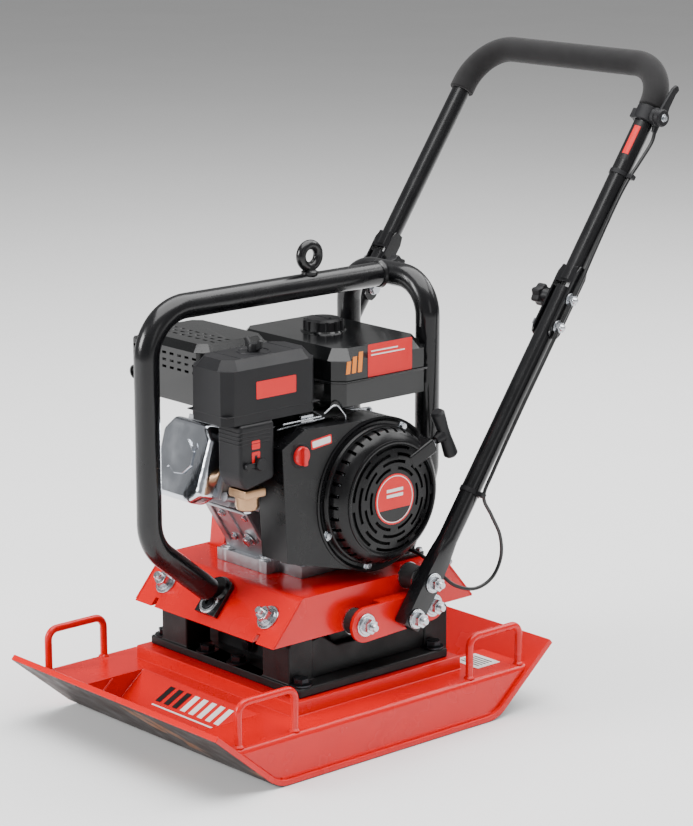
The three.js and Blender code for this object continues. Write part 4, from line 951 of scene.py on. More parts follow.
def build_throttle():
    x, lever_x = HANDLE_X, 200 * MM
    ring = [(HANDLE_TUBE + 0.1 * MM, -10.5 * MM), (HANDLE_TUBE + 3.2 * MM, -10.5 * MM),
        (HANDLE_TUBE + 4 * MM, -9.5 * MM), (HANDLE_TUBE + 4 * MM, 9.5 * MM), (HANDLE_TUBE + 3.2 * MM,
        10.5 * MM), (HANDLE_TUBE + 0.1 * MM, 10.5 * MM), (HANDLE_TUBE + 0.1 * MM, -10.5 * MM)]
    here = Matrix.Translation((x, 0, CLAMP_AT))
    clamp = lathe(ring, here, 40)
    boss = box((x + 14 * MM, -9.6 * MM, CLAMP_AT - 10.5 * MM), (lever_x - 0.2 * MM, 9.6 * MM,
        CLAMP_AT + 10.5 * MM), 2.5 * MM, 3)
    drum = lathe(in_mm((0, 0), (12.4, 0), (12.4, 5), (11, 6.5), (0, 6.5)),
        facing(Vector((lever_x - 6.6 * MM, 0, CLAMP_AT)), X), 40)
    ears = [box((x - 23 * MM, y * MM - 3.2 * MM, CLAMP_AT - 7 * MM), (x - 12 * MM, y * MM + 3.2 * MM,
        CLAMP_AT + 7 * MM), 1.6 * MM, 3) for y in (-4.6, 4.6)]
    outlet = bar(Vector((lever_x - 5 * MM, 6 * MM, CLAMP_AT - 8 * MM)),
        Vector((lever_x - 4.8 * MM, 7.4 * MM, CLAMP_AT - 19 * MM)), 4.6 * MM, 20, 3.8 * MM, 0.6 * MM)
    screws = [screw(Vector((x - 17 * MM, -7.8 * MM, CLAMP_AT)), -Y, 3.4 * MM),
        screw(Vector((x + 4 * MM, -HANDLE_TUBE - 3.6 * MM, CLAMP_AT + 4 * MM)), -Y, 3.6 * MM)]
    nut = hexagon(Vector((x - 17 * MM, 7.8 * MM, CLAMP_AT)), Y, 7 * MM, 3 * MM, 0.4 * MM)
    piece("throttle_mount", "upper_handle",
        [(NYLON, moved(joined(clamp, boss, drum, outlet, *ears), HANDLE)),
        (ZINC, moved(joined(*screws, nut), HANDLE))], ["throttle_clamp"])
    side = HANDLE @ facing(Vector((lever_x + 0.4 * MM, 0, 0)), X)
    blade = slab([(y * MM, CLAMP_AT + z * MM) for y, z in ((9, 0), (5, 18), (5, 38), (7.5, 46), (3, 50),
        (-1, 50), (-5, 42), (-7, 24), (-9, 6), (-7, -6), (4, -8))], 0, 5.6 * MM, side, 2 * MM, 3)
    hub = lathe(in_mm((0, 0), (12, 0), (12, 5.4), (10.4, 7.4), (0, 7.4)),
        HANDLE @ facing(Vector((lever_x + 0.4 * MM, 0, CLAMP_AT)), X), 36)
    bolt = bolt_head(HANDLE @ Vector((lever_x + 7.6 * MM, 0, CLAMP_AT)), X, 7 * MM, 5 * MM)
    piece("throttle_blade", "throttle_lever", [(NYLON, joined(blade, hub)),
        (ZINC, bolt)], ["throttle_lever"])

    reach = 198.5 * MM
    down = [(lever_x - 5 * MM, 7 * MM, CLAMP_AT - 14 * MM), (lever_x - 3 * MM, 10 * MM, CLAMP_AT - 32 *
        MM), (lever_x - 4 * MM, 6 * MM, CLAMP_AT - 66 * MM), (lever_x - 5 * MM, 2 * MM, CLAMP_AT - 94 *
        MM), (lever_x - 5 * MM, 0, CLAMP_AT - 130 * MM), (reach - 2 * MM, 0, CLAMP_AT - 200 * MM),
        (reach, 0, CLAMP_AT - 250 * MM), (reach, 0, FOLD_AT + 9 * MM), (reach, 0, FOLD_AT - 9 * MM),
        (reach, 0, FOLD_AT - 60 * MM), (reach, 0, 300 * MM), (reach, 2 * MM, 215 * MM),
        (reach, 6 * MM, 180 * MM)]
    loop = [(198, 184, 276), (198, 200, 246), (197, 203, 216), (194, 190, 190), (188, 165, 179),
        (176, 140, 186), (160, 126, 204), (142, 121, 218), (122, 118, 224), (98, 116.5, 224),
        (74, 116.5, 224), (56, 119, 232), (48, 127, 256), (47, 128, 290), (47, 127, 340), (46, 124, 372),
        (44.8, 118, 392)]
    route = [HANDLE @ Vector(p) for p in down] + [Vector(p) * MM for p in loop]
    cable = piece("throttle_cable", None, [(SLEEVE, hose(through(route, 420), 2.4 * MM))],
        ["throttle_cable_upper", "throttle_cable_lower"])
    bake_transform(cable)
    clips = (("cable_clip_upper", "upper_handle", 650), ("cable_clip_lower", "chassis", 180))
    for name, body, height in clips:
        at = HANDLE @ Matrix.Translation((x, 0, height * MM))
        band = lathe([(HANDLE_TUBE + 0.1 * MM, -3 * MM), (HANDLE_TUBE + 1.3 * MM, -3 * MM),
            (HANDLE_TUBE + 1.3 * MM, 3 * MM), (HANDLE_TUBE + 0.1 * MM, 3 * MM), (HANDLE_TUBE + 0.1 * MM,
            -3 * MM)], at, 36)
        catch = moved(box((HANDLE_TUBE + 0.4 * MM, -2 * MM, -3.4 * MM), (HANDLE_TUBE + 11 * MM, 7 * MM,
            3.4 * MM), 1.6 * MM, 3), at)
        piece(name, body, [(NYLON, joined(band, catch))])


# ---- engine ----------------------------------------------------------------------------------------
TILT = math.radians(17)  # the cylinder leans forward by this much
BORE = Matrix.Translation(CRANK) @ Matrix.Rotation(-TILT, 4, "X")  # own -Y along the cylinder


def build_crankcase():
    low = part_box("crankcase")[0]
    case = rounded(copy_of("crankcase"), 3.5 * MM, 3, 28)
    ribs = []
    for y in (-8, 14, 80, 102):
        ribs.append(box((low.x + 8 * MM, y * MM - 1.8 * MM, 232 * MM), (low.x + 11.5 * MM, y * MM + 1.8 *
            MM, 372 * MM), 1 * MM))
    lean = Vector((0, -36, 58)).normalized()
    out = Vector((0, -lean.z, lean.y))
    face = mm(0, -50, 236)
    for x in (-46, -12, 27.5):
        spine = facing(face + X * x * MM, out, lean) @ Matrix.Translation((0, 33 * MM, 0))
        ribs.append(moved(box((-2 * MM, -32 * MM, -3 * MM), (2 * MM, 32 * MM, 2.6 * MM), 1.2 * MM),
            spine))
    ledge = box((-62 * MM, -90 * MM, 290 * MM), (32 * MM, -78 * MM, 295 * MM), 2 * MM)
    boss = facing(face + X * 8 * MM + lean * 20 * MM, out, lean)
    plugs = [lathe(in_mm((0, -3), (13, -3), (11, 3), (0, 3)), boss, 32), ledge]
    foot = low.z + 16 * MM
    lugs = [lathe(in_mm((0, -2), (12, -2), (11, 2.5), (0, 2.5)), facing(Vector((x * MM, y * MM, foot)),
        Z), 32) for x, y in ((-56, -41), (16, -41), (-56, 98), (61, 98))]
    lugs += [bar((x * MM, -41 * MM, 206.5 * MM), (x * MM, -41 * MM, foot + 2 * MM), 14.6 * MM, 32, None,
        1.5 * MM) for x in (-56, 16)]
    seam = slab([(low.y + 22 * MM, 232 * MM), (CRANK.y + 66 * MM, 232 * MM), (CRANK.y + 70 * MM,
        300 * MM), (CRANK.y + 58 * MM, 366 * MM), (CRANK.y + 28 * MM, 392 * MM), (CRANK.y - 46 * MM,
        392 * MM), (CRANK.y - 74 * MM, 334 * MM)], 66 * MM, 70 * MM, SIDEWAYS, 1.5 * MM)
    piece("engine_crankcase", "chassis", [(ALLOY, joined(case, seam, *ribs, *plugs, *lugs))],
        ["crankcase"])
    bolts = [bolt_head(Vector((x * MM, y * MM, foot + 2.4 * MM)), Z, 13 * MM, 11 * MM) for x,
        y in ((-56, -41), (16, -41), (-56, 98), (61, 98))]
    bolts.append(bolt_head(boss @ mm(0, 0, 4), out, 13 * MM, 9 * MM))
    bolts += [bolt_head(face + X * x * MM + lean * d * MM + out * 0.2 * MM, out, 8 * MM, 6 * MM) for x,
        d in ((-30, 12), (-30, 54), (20, 58))]
    bolts.append(bolt_head(Vector((48 * MM, -22 * MM, foot)), Z, 11 * MM, 9 * MM))
    piece("crankcase_bolts", "chassis", [(ZINC, joined(*bolts))])
    dipstick = lathe(in_mm((0, 0), (11, 0), (12, 4), (12, 12), (5, 15), (0, 15)),
        facing(Vector((20 * MM, CRANK.y + 70 * MM, 262 * MM)), Y + Z * 0.4), 24)
    piece("oil_filler_plug", "chassis", [(NYLON, dipstick)])


def build_cylinder():
    left, right, base, top, half = -46 * MM, 52 * MM, 84 * MM, 195 * MM, 46 * MM
    body = box((left, -top, -half), (right, -base, half - 6 * MM), 2 * MM)
    fins = []
    for i in range(12):
        y = -base - 6 * MM - i * 8.4 * MM
        fins.append(box((left - 8 * MM, y - 1.2 * MM, -half - 6 * MM), (right + 8 * MM, y + 1.2 * MM,
            half + 2 * MM), 0.6 * MM, 1))
    studs = [bar((x * MM, -base - 4 * MM, z * MM), (x * MM, -top + 2 * MM, z * MM), 6 * MM, 16)
        for x in (-52, 58) for z in (-40, 34)]
    piece("engine_cylinder", "chassis", [(ALLOY, moved(joined(body, *fins, *studs), BORE))],
        ["cylinder_head"])
    dome = rounded(copy_of("rocker_cover"), 3 * MM, 3, 12)
    rim = slab(in_mm((-42, -42), (-27, -52), (31, -52), (46, -42), (48, 28), (34, 42), (-30, 42),
        (-44, 28)), 0, 3 * MM, BORE @ Matrix.Translation((0, -top - 0.2 * MM, 0)) @ ON_ITS_BACK)
    crown_at = BORE @ Matrix.Translation((2 * MM, -top - 32 * MM, -2 * MM))
    crown = slab([(-20, -16), (-6, -24), (10, -22), (22, -10), (22, 8), (8, 22), (-10, 20), (-22, 8)],
        -1, 1, None, 0.7, 3)
    crown = moved(crown, Matrix.Diagonal((MM, MM, 3 * MM, 1)))
    crown = moved(crown, crown_at @ ON_ITS_BACK)
    band = slab([(-30, -3), (30, -3), (30, 3), (-30, 3)], -1, 1, None, 0.6, 2)
    band = moved(band, Matrix.Diagonal((MM, MM, 2 * MM, 1)))
    band = moved(band, crown_at @ ON_ITS_BACK @ Matrix.Rotation(0.6, 4, "Z"))
    bolts = [bolt_head(BORE @ Vector((x * MM, -top - 3 * MM, z * MM)), BORE.to_3x3() @ -Y, 10 * MM,
        8 * MM) for x, z in ((-39, 0), (43, 0), (2, 40), (2, -47))]
    piece("rocker_cap", "chassis", [(CHROME, joined(dome, rim, crown, band)),
        (ZINC, joined(*bolts))], ["rocker_cover"], 50)
    plug = BORE @ Vector((50 * MM, -top - 6 * MM, 40 * MM))
    lead = bent([plug, plug + Vector((4, -16, 22)) * MM, plug + Vector((14, 2, 44)) * MM,
        plug + Vector((24, 44, 30)) * MM], 4 * MM, 9 * MM, 16, 8)
    boot = bar(plug + Vector((-4, 8, -14)) * MM, plug + Vector((1, -3, 5)) * MM, 9 * MM, 24, 7 * MM,
        1.5 * MM)
    piece("spark_plug_lead", "chassis", [(RUBBER, joined(lead, boot))])


def build_intake():
    low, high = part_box("carburetor")
    centre = mm(95, -140, 0)
    flange = slab([(low.x, low.y), (high.x, low.y), (high.x, high.y), (low.x, high.y)], high.z - 12 * MM,
        high.z, None, 3 * MM)
    bowl = lathe([(0, low.z), (9 * MM, low.z), (13.5 * MM, low.z + 2.5 * MM), (15 * MM, low.z + 7 * MM),
        (15 * MM, high.z - 13 * MM), (16 * MM, high.z - 12.6 * MM), (16 * MM, high.z - 10 * MM),
        (0, high.z - 10 * MM)], Matrix.Translation(centre), 48)
    throat = bar(Vector((low.x + 4 * MM, -138 * MM, high.z - 6 * MM)),
        Vector((58 * MM, -118 * MM, high.z + 2 * MM)), 11 * MM, 24)
    drain = bolt_head(Vector((centre.x, centre.y, low.z + 0.5 * MM)), -Z, 8 * MM, 5 * MM)
    idle = screw(Vector((high.x, -140 * MM, high.z - 6 * MM)), X, 4 * MM)
    piece("carburettor", "chassis", [(CHROMATE, joined(flange, bowl, throat)),
        (ZINC, joined(drain, idle))], ["carburetor"])

    elbow = copy_of("intake_elbow")
    rounded(elbow, 5 * MM, 4, 28)
    low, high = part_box("intake_elbow")
    ribs = [box((low.x + 3 * MM, low.y - 0.6 * MM, z * MM - 1 * MM), (high.x + 0.5 * MM, high.y - 8 * MM,
        z * MM + 1 * MM), 0.8 * MM) for z in (411, 416, 421, 426)]
    screws = [screw(Vector((high.x + 0.4 * MM, -122 * MM, 371 * MM)), X, 5.4 * MM),
        screw(Vector((102 * MM, low.y - 0.4 * MM, 381 * MM)), -Y, 5.4 * MM)]
    piece("intake_duct", "chassis", [(NYLON, joined(elbow, *ribs)),
        (ZINC, joined(*screws))], ["intake_elbow"])
    place = facing(Vector((high.x + 0.1 * MM, -143 * MM, 394 * MM)), X)
    tabs = [label(13 * MM, 11 * MM, place @ Matrix.Translation((0, 15 * MM, 0))), label(13 * MM, 17 * MM,
        place @ Matrix.Translation((0, -2 * MM, 0)))]
    mark = label(4 * MM, 8 * MM, place @ Matrix.Translation((0, -2 * MM, 0.3 * MM)))
    piece("control_sticker", "chassis", [(RED_VINYL, joined(*tabs)), (BLACK_VINYL, mark)])

    low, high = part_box("air_cleaner_cover")
    step = low.z + 14 * MM
    shell = copy_of("air_cleaner_cover")
    rounded(shell, 5.5 * MM, 4, 20)
    lip = box((low.x - 0.2 * MM, low.y - 0.2 * MM, step - 3 * MM), (high.x + 0.2 * MM, high.y + 0.2 * MM,
        step - 1.2 * MM), 0.8 * MM)
    nut_low, nut_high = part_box("air_cleaner_nut")
    spot = Vector(((nut_low.x + nut_high.x) / 2, (nut_low.y + nut_high.y) / 2, high.z))
    recess = lathe(in_mm((20, -0.4), (22, -0.4), (21.4, 0.9), (19, 0.9), (18, -0.4), (20, -0.4)),
        Matrix.Translation(spot), 48)
    ridges = [box((low.x + 12 * MM, y * MM - 1.5 * MM, high.z - 0.6 * MM), (high.x - 12 * MM,
        y * MM + 1.5 * MM, high.z + 0.5 * MM), 0.5 * MM, 1) for y in (-152, -66)]
    piece("air_cleaner_shell", "chassis",
        [(NYLON, joined(shell, lip, recess, *ridges))], ["air_cleaner_cover"])
    place = facing(Vector((high.x + 0.05 * MM, (low.y + high.y) / 2 + 4 * MM, low.z + 40 * MM)), X)
    piece("air_cleaner_sticker", "chassis", [(RED_VINYL, label(64 * MM, 22 * MM, place))])
    hub = lathe(in_mm((0, 0), (8, 0), (8, 6), (6.5, 9.6), (0, 9.6)), Matrix.Translation(spot + Z * 0.4 *
        MM), 28)
    wings = slab(in_mm((-15, 5), (-16, 14), (-12, 16), (-6, 9), (6, 9), (12, 16), (16, 14), (15, 5),
        (8, 2), (-8, 2)), -2 * MM, 2 * MM, Matrix.Translation(spot) @ ON_ITS_BACK, 1 * MM, 3)
    piece("air_cleaner_wing_nut", "air_cleaner_nut", [(NYLON, joined(hub, wings))],
        ["air_cleaner_nut"])


def build_tank():
    low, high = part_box("fuel_tank")
    top = low.z + 72 * MM
    neck = Vector((*middle("fuel_cap")[:2], 0))
    off_neck = lambda e: not any((v.co - neck).xy.length < 21 * MM for v in e.verts)
    tank = rounded(copy_of("fuel_tank"), 5 * MM, 4, 20, off_neck)
    seam_z = low.z + 30 * MM
    out = 3.4 * MM
    cut = 14 * MM
    points = [(low.x - out + cut, low.y - out), (high.x + out - cut, low.y - out),
        (high.x + out, low.y - out + cut), (high.x + out, high.y + out - cut), (high.x + out - cut,
        high.y + out), (low.x - out + cut, high.y + out), (low.x - out, high.y + out - cut),
        (low.x - out, low.y - out + cut)]
    seam = slab(points, seam_z, seam_z + 2.4 * MM, None, 1 * MM)
    neck_ring = lathe([(19 * MM, top - 1 * MM), (31 * MM, top - 1 * MM), (29 * MM, top + 2.2 * MM),
        (19 * MM, top + 2.6 * MM), (19 * MM, top - 1 * MM)], Matrix.Translation((-8 * MM, 76 * MM, 0)),
        48)
    straps = [box((x * MM - 9 * MM, low.y - 3 * MM, low.z - 1 * MM), (x * MM + 9 * MM, low.y + 6 * MM,
        low.z + 3 * MM), 1 * MM) for x in (-60, 70)]
    piece("petrol_tank", "chassis",
        [(BLACK_ENAMEL, joined(tank, seam, neck_ring, *straps))], ["fuel_tank"])
    place = facing(Vector((high.x + 0.1 * MM, 84 * MM, seam_z + 24 * MM)), X)
    lines = [label(w * MM, 1.6 * MM, place @ Matrix.Translation(((w - 66) * MM / 2, h * MM, 0.25 * MM)),
        0.3 * MM) for w, h in ((46, 12), (58, 7))]
    piece("tank_sticker", "chassis", [(RED_VINYL, label(76 * MM, 42 * MM, place)),
        (WHITE_VINYL, joined(*lines))])
    mark_at = facing(Vector((high.x + 0.1 * MM, 22 * MM, seam_z + 24 * MM)), X)
    bars = [slab([(x - 3.4, -12), (x + 3.4, -12), (x + 3.4 + 2, y), (x - 3.4 + 2, y)], 0, 0.3, None)
        for x, y in ((-10, 4), (0, 9), (10, 14))]
    mark = moved(joined(*bars), Matrix.Diagonal((MM, MM, MM, 1)))
    piece("tank_mark", "chassis", [(ORANGE_VINYL, moved(mark, mark_at))])

    cap_low, cap_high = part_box("fuel_cap")
    spot = Vector(((cap_low.x + cap_high.x) / 2, (cap_low.y + cap_high.y) / 2, 0))
    r = (cap_high.x - cap_low.x) / 2
    shell = [(19.6 * MM, cap_low.z), (r - 1 * MM, cap_low.z), (r, cap_low.z + 1.5 * MM),
        (r - 0.8 * MM, cap_high.z - 4 * MM), (r - 4 * MM, cap_high.z - 0.6 * MM), (12 * MM, cap_high.z),
        (0, cap_high.z), (0, cap_low.z + 8.6 * MM), (19.6 * MM, cap_low.z + 8.6 * MM),
        (19.6 * MM, cap_low.z)]
    cap = lathe(shell, Matrix.Translation(spot), 64)
    grips = ring_of(12, lambda: bar((0, 0, cap_low.z + 1 * MM), (0, 0, cap_high.z - 3 * MM), 2.4 * MM,
        12), r - 0.6 * MM, Matrix.Translation(spot))
    rib = box(spot + Vector((-14, -2, 0)) * MM + Z * (cap_high.z - 1 * MM), spot + Vector((14, 2, 0)) *
        MM + Z * (cap_high.z + 1 * MM), 0.7 * MM)
    piece("petrol_cap", "fuel_cap", [(NYLON, joined(cap, grips, rib))], ["fuel_cap"])


def build_muffler():
    low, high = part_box("muffler_guard")
    guard = copy_of("muffler_guard", 4 * MM, 3, 20)
    cutters = []
    count = 9
    for i in range(count):
        x = low.x + 14 * MM + i * (high.x - low.x - 28 * MM) / (count - 1)
        for row in range(3):
            z = high.z - 18 * MM - row * 9 * MM
            cutters.append(box((x - 4 * MM, low.y - 5 * MM, z - 1.6 * MM), (x + 4 * MM, low.y + 8 * MM,
                z + 1.6 * MM)))
            y = low.y + 30 * MM + row * 12 * MM
            cutters.append(box((x - 4 * MM, y - 2 * MM, high.z - 6 * MM), (x + 4 * MM, y + 2 * MM,
                high.z + 5 * MM)))
    guard = carved(guard, *cutters)
    inner = box((low.x + 6 * MM, low.y + 6 * MM, low.z + 4 * MM), (high.x - 6 * MM, high.y - 6 * MM,
        high.z - 5 * MM), 6 * MM)
    outlet = lathe(in_mm((0, 0), (9, 0), (9, 5), (7, 5), (7, 1), (0, 1)),
        facing(Vector((low.x + 18 * MM, low.y - 0.5 * MM, low.z + 26 * MM)), -Y), 28)
    screws = [screw(Vector((x, low.y - 0.2 * MM, low.z + 12 * MM)), -Y, 4 * MM)
        for x in (low.x + 40 * MM, high.x - 20 * MM)]
    pipe = bar(mm(-44, -96, 396), Vector((-44 * MM, -96 * MM, low.z + 2 * MM)), 14 * MM, 28)
    piece("exhaust_guard", "chassis", [(BLACK_ENAMEL, joined(guard, outlet)),
        (BLACK_CASTING, joined(inner, pipe)), (ZINC, joined(*screws))], ["muffler_guard"])


def build_blower():
    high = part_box("blower_housing")[1]
    shell = copy_of("blower_housing", 4 * MM, 3, 28)
    face = high.x
    tape = label(34 * MM, 12 * MM, facing(Vector((face + 0.05 * MM, -44 * MM, 398 * MM)), X) @
        Matrix.Rotation(math.radians(6), 4, "Z"))
    inner = label(30 * MM, 8 * MM, facing(Vector((face + 0.35 * MM, -44 * MM, 398 * MM)), X) @
        Matrix.Rotation(math.radians(6), 4, "Z"))
    lip = lathe(in_mm((95, -1), (101.4, -1), (101.4, 2.2), (99, 3), (95, 1), (95, -1)),
        facing(Vector((face - 1 * MM, CRANK.y, CRANK.z)), X), 96)
    piece("blower_shell", "chassis", [(GLOSS_NYLON, joined(shell, lip))],
        ["blower_housing"])
    piece("blower_sticker", "chassis", [(RED_VINYL, tape), (WHITE_VINYL, inner)])
    bolts = [bolt_head(Vector((face + 0.2 * MM, CRANK.y + 93 * MM * math.cos(a), CRANK.z + 93 * MM *
        math.sin(a))), X, 8 * MM, 7 * MM) for a in (math.radians(d) for d in (-100, -30, 62, 205))]
    piece("blower_bolts", "chassis", [(ZINC, joined(*bolts))])


def build_recoil():
    low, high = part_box("recoil_cover")
    seat, depth, r = low.x, high.x - low.x, 88 * MM
    place = facing(Vector((seat, CRANK.y, CRANK.z)), X)
    profile = [(0, depth), (r * 0.42, depth), (r * 0.62, depth - 0.5 * MM),
        (r - 14 * MM, depth - 4 * MM), (r - 6 * MM, depth - 9 * MM), (r - 1.5 * MM, depth - 15 * MM),
        (r, depth - 20 * MM), (r, 0), (r - 3 * MM, 0), (r - 3 * MM, depth - 20 * MM),
        (r - 9 * MM, depth - 12 * MM), (r - 16 * MM, depth - 7.5 * MM), (r * 0.62, depth - 3.5 * MM),
        (0, depth - 3.5 * MM)]
    cover = lathe(profile, steps=96)
    cutters = []
    count = 36
    for i in range(count):
        turn = Matrix.Rotation(2 * math.pi * i / count, 4, "Z")
        cutters.append(moved(box((r - 14 * MM, -2.3 * MM, depth - 26 * MM), (r + 4 * MM, 2.3 * MM,
            depth - 12 * MM)), turn))
    for ring, (inner, outer) in enumerate(((38, 42), (47, 51), (56, 60), (65, 69))):
        spans = 6
        for i in range(spans):
            mid = 2 * math.pi * (i + 0.5 * (ring % 2)) / spans
            half = math.pi / spans - 6 * MM / (inner * MM)
            arc = [(inner * MM * math.cos(mid + half * t / 5), inner * MM * math.sin(mid + half * t / 5))
                for t in range(-5, 6)]
            arc += [(outer * MM * math.cos(mid - half * t / 5), outer * MM * math.sin(mid - half * t /
                5)) for t in range(-5, 6)]
            cutters.append(slab(arc, depth - 14 * MM, depth + 2 * MM))
    cover = carved(cover, *cutters)
    outer_ring = lathe([(r - 0.5 * MM, 0), (r + 3 * MM, 0), (r + 3.4 * MM, 2 * MM), (r + 2 * MM, 5 * MM),
        (r - 0.5 * MM, 6 * MM), (r - 0.5 * MM, 0)], steps=96)
    bead = lathe([(r - 17 * MM, depth - 6 * MM), (r - 13 * MM, depth - 6.6 * MM),
        (r - 13 * MM, depth - 2.4 * MM), (r - 15 * MM, depth - 1.6 * MM),
        (r - 17 * MM, depth - 2.2 * MM), (r - 17 * MM, depth - 6 * MM)], steps=96)
    pull = facing(mm(0, 123, 373), X)
    run = Matrix.Rotation(PULL_SLOPE, 4, "Z")
    tower = moved(box((-46 * MM, -10 * MM, seat + 0.3 * MM), (-0.5 * MM, 10 * MM, 158 * MM), 3 * MM, 3),
        pull @ run)
    eyelet = lathe(in_mm((3, 0), (7, 0), (7, 2.4), (3.4, 2.4), (3, 0)), facing(mm(149, 0, 0), Y), 24)
    eyelet = moved(eyelet, Matrix.Translation((0, 123 * MM, 373 * MM)) @ Matrix.Rotation(PULL_SLOPE, 4,
        "X") @ Matrix.Translation((0, -1.6 * MM, 0)))
    piece("recoil_housing", "chassis",
        [(GLOSS_NYLON, joined(moved(joined(cover, outer_ring, bead), place), tower)), (ZINC, eyelet)],
        ["recoil_cover"])
    screen = lathe([(0, 0), (r - 5 * MM, 0), (r - 5 * MM, 2 * MM), (0, 2 * MM)],
        place @ Matrix.Translation((0, 0, depth - 25 * MM)), 64)
    dots = ring_of(count, lambda: bar((0, 0, 0), (0, 0, 3 * MM), 1.8 * MM, 12), r - 8.5 * MM,
        place @ Matrix.Translation((0, 0, depth - 23 * MM)))
    piece("fan_screen", "chassis", [(BLACK_CASTING, screen), (ZINC, dots)])
    disc = 33 * MM
    face = place @ Matrix.Translation((0, 0, depth + 0.1 * MM))
    badge = lathe([(0, 0), (disc, 0), (disc, 0.8 * MM), (0, 0.8 * MM)], face, 64)
    ring = lathe([(disc - 3.2 * MM, 0.8 * MM), (disc - 2.2 * MM, 0.8 * MM), (disc - 2.2 * MM, 1.0 * MM),
        (disc - 3.2 * MM, 1.0 * MM), (disc - 3.2 * MM, 0.8 * MM)], face, 64)
    chord = disc - 3.6 * MM
    turns = [math.radians(205 + 130 * i / 20) for i in range(21)]
    lower = [(chord * math.cos(a), chord * math.sin(a)) for a in turns]
    lower = slab(lower, 0.8 * MM, 1.0 * MM, face)
    stripe = [slab([(-14 * MM, y * MM), (14 * MM, y * MM), (14 * MM, (y + 4) * MM),
        (-14 * MM, (y + 4) * MM)], 0.8 * MM, 1 * MM, face) for y in (3, 10)]
    piece("recoil_badge", "chassis", [(RED_VINYL, badge),
        (WHITE_VINYL, joined(ring, *stripe)), (BLACK_VINYL, lower)])

    frame_here = Matrix.Translation((149 * MM, 123 * MM, 373 * MM)) @ Matrix.Rotation(PULL_SLOPE, 4, "X")
    out = 24 * MM
    body = in_mm((0, -34), (7, -34), (9.5, -31), (9, -20), (8, -6), (8, 6), (9, 20), (9.5, 31), (7, 34),
        (0, 34))
    bodyshape = lathe(body, frame_here @ Matrix.Translation((0, out, 0)), 32)
    stem = lathe(in_mm((0, 7.4), (5.4, 7.4), (6, 9), (9, 19), (0, 19)),
        frame_here @ Matrix.Rotation(-math.pi / 2, 4, "X"), 28)
    piece("starter_grip", "pull_starter", [(NYLON, joined(bodyshape, stem))],
        ["recoil_grip"])
    start, end = frame_here @ mm(0, -9, 0), frame_here @ mm(0, 11, 0)
    rope = bar(start, end, 2 * MM, 16)
    long_edges = [e for e in rope.edges if (e.verts[0].co - e.verts[1].co).length > 10 * MM]
    bmesh.ops.subdivide_edges(rope, edges=long_edges, cuts=24, use_grid_fill=True)
    cord = piece("starter_cord", None, [(ROPE, rope)], ["recoil_rope"])
    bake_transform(cord)


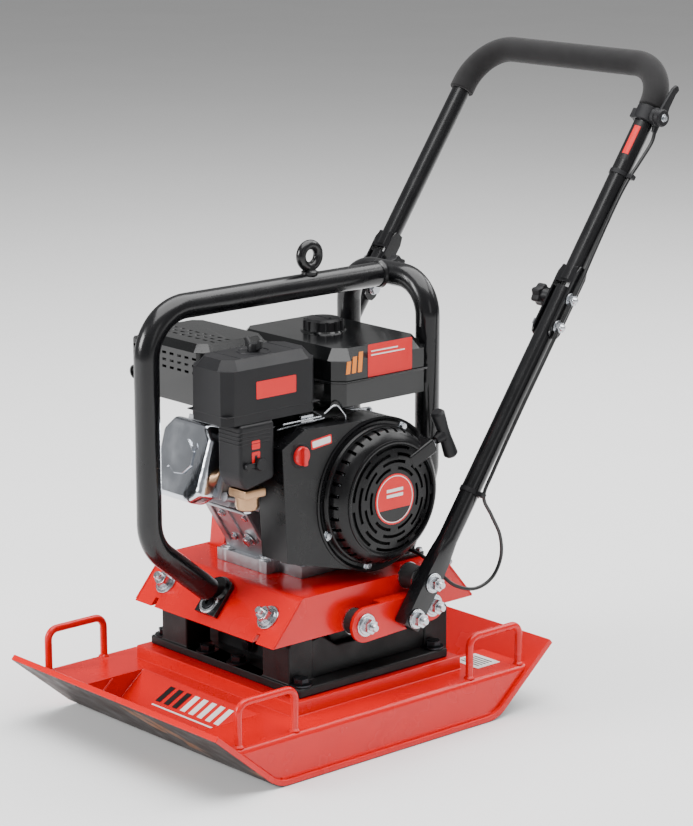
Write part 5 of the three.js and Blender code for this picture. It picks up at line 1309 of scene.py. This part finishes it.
def build_controls():
    low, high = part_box("choke_lever")
    hub_at = Vector((low.x, -138 * MM, 384 * MM))
    hub = lathe(in_mm((0, 0), (8, 0), (8, 4.5), (7, 6), (0, 6)), facing(hub_at, X), 32)
    blade = slab(in_mm((-24, -3), (0, -3), (0, 3), (-24, 3)), 0, 3 * MM, facing(hub_at, X), 1.2 * MM, 3)
    tip = bar(hub_at + Vector((0.5, -20, 0)) * MM, hub_at + Vector((5.5, -20, 0)) * MM, 4.4 * MM, 20,
        None, 0.8 * MM)
    piece("choke_handle", "choke_lever", [(NYLON, joined(hub, blade, tip))],
        ["choke_lever"])
    low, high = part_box("engine_switch")
    at = Vector((low.x, -78 * MM, 386 * MM))
    knob = lathe(in_mm((0, 0), (12, 0), (12, 3.5), (10.8, 5), (0, 5)), facing(at, X), 40)
    tab = box((low.x, at.y - 3 * MM, at.z - 11.6 * MM), (high.x, at.y + 3 * MM, at.z + 11.6 * MM),
        1.4 * MM, 3)
    piece("switch_knob", "engine_switch", [(RED_NYLON, joined(knob, tab))],
        ["engine_switch"])
    plate = lathe(in_mm((0, -1), (17, -1), (16, 0.1), (0, 0.1)), facing(at, X), 40)
    piece("switch_plate", "chassis", [(NYLON, plate)])
    pivot = mm(40, 76, 400)
    arm = slab(in_mm((-6, -3), (-4, -6), (6, -6), (38, -4), (40, -2), (40, 2), (38, 4), (6, 6), (-4, 6),
        (-6, 3)), 0, 2.4 * MM, facing(pivot + X * 0.2 * MM, X), 0.5 * MM)
    boss = lathe(in_mm((0, 0), (6, 0), (6, 3), (3, 5), (0, 5)), facing(pivot, X), 24)
    pin = bar(pivot + Vector((-1, 36, 0)) * MM, pivot + Vector((6, 36, 0)) * MM, 2.4 * MM, 16, None,
        0.4 * MM)
    piece("governor_arm", "throttle_arm", [(ZINC, joined(arm, boss, pin))], ["throttle_arm"])
    rods = [bent([Vector(p) * MM for p in run], r * MM, 5 * MM, 12, 6) for r,
        run in ((1.2, ((60, -10, 424), (110, -30, 426), (112, -96, 426))),
        (1.2, ((62, 4, 418), (104, -20, 421), (106, -100, 419))),
        (1.4, ((112, -104, 399), (112, -64, 399))))]
    link = box((104 * MM, -62 * MM, 420 * MM), (108 * MM, -42 * MM, 431 * MM), 1 * MM)
    wire = bent([Vector(p) * MM for p in ((108, -24, 428), (112, -8, 440), (114, 6, 422),
        (112, 8, 404))], 1.1 * MM, 8 * MM, 12, 8)
    piece("governor_linkage", "chassis", [(ZINC, joined(link, wire, *rods))])
    plate = slab(in_mm((-70, 410), (20, 410), (26, 416), (26, 430), (-70, 430)), 60 * MM, 62 * MM,
        SIDEWAYS, 0.5 * MM)
    shelf = box((30 * MM, -34 * MM, 420 * MM), (104 * MM, 30 * MM, 423 * MM), 1 * MM)
    piece("control_plate", "chassis", [(BLACK_CASTING, joined(plate, shelf))])


def build_guard():
    guard = copy_of("belt_guard", 1.6 * MM, 3, 25)
    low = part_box("belt_guard")[0]
    piece("belt_guard_shell", "chassis", [(RED_COAT, guard)], ["belt_guard"])
    across = Vector((0, CRANK.y - AXLE.y, CRANK.z - AXLE.z)).normalized()
    side = Vector((0, across.z, -across.y))
    spots = [Vector((low.x, AXLE.y, AXLE.z)) - across * 46 * MM, Vector((low.x, CRANK.y, CRANK.z)) +
        across * 48 * MM]
    spots += [Vector((low.x, *((AXLE + CRANK) / 2)[1:])) + side * d * MM for d in (-44, 44)]
    screws = [bolt_head(spot - X * 0.1 * MM, -X, 9 * MM, 8 * MM) for spot in spots]
    piece("guard_screws", "chassis", [(ZINC, joined(*screws))])


add_camera()
build_base()
build_apron_mark()
build_exciter()
build_deck()
build_brackets()
build_cage()
build_handle()
build_throttle()
build_crankcase()
build_cylinder()
build_intake()
build_tank()
build_muffler()
build_blower()
build_recoil()
build_controls()
build_guard()

floor_mesh = bpy.data.meshes.new("floor")
floor_shape = bmesh.new()
bmesh.ops.create_grid(floor_shape, x_segments=2, y_segments=2, size=12)
floor_shape.to_mesh(floor_mesh)
floor_mesh.materials.append(PAPER)
floor = bpy.data.objects.new("floor", floor_mesh)
scene.collection.objects.link(floor)
add_light("key", (-1.5, -3.6, 1.9), (1.6, 1.4), 175)
add_light("top", (0.2, 0.4, 3.6), (4.5, 4.5), 360)
add_light("fill", (3.6, -0.6, 1.4), (1.0, 1.6), 6)
add_light("rim", (0.6, 3.0, 2.4), (2.5, 1.2), 60)
world = bpy.data.worlds.new("studio")
scene.world = world
world.use_nodes = True
world.node_tree.nodes["Background"].inputs["Color"].default_value = linear("#F4F4F4")
world.node_tree.nodes["Background"].inputs["Strength"].default_value = 0.35
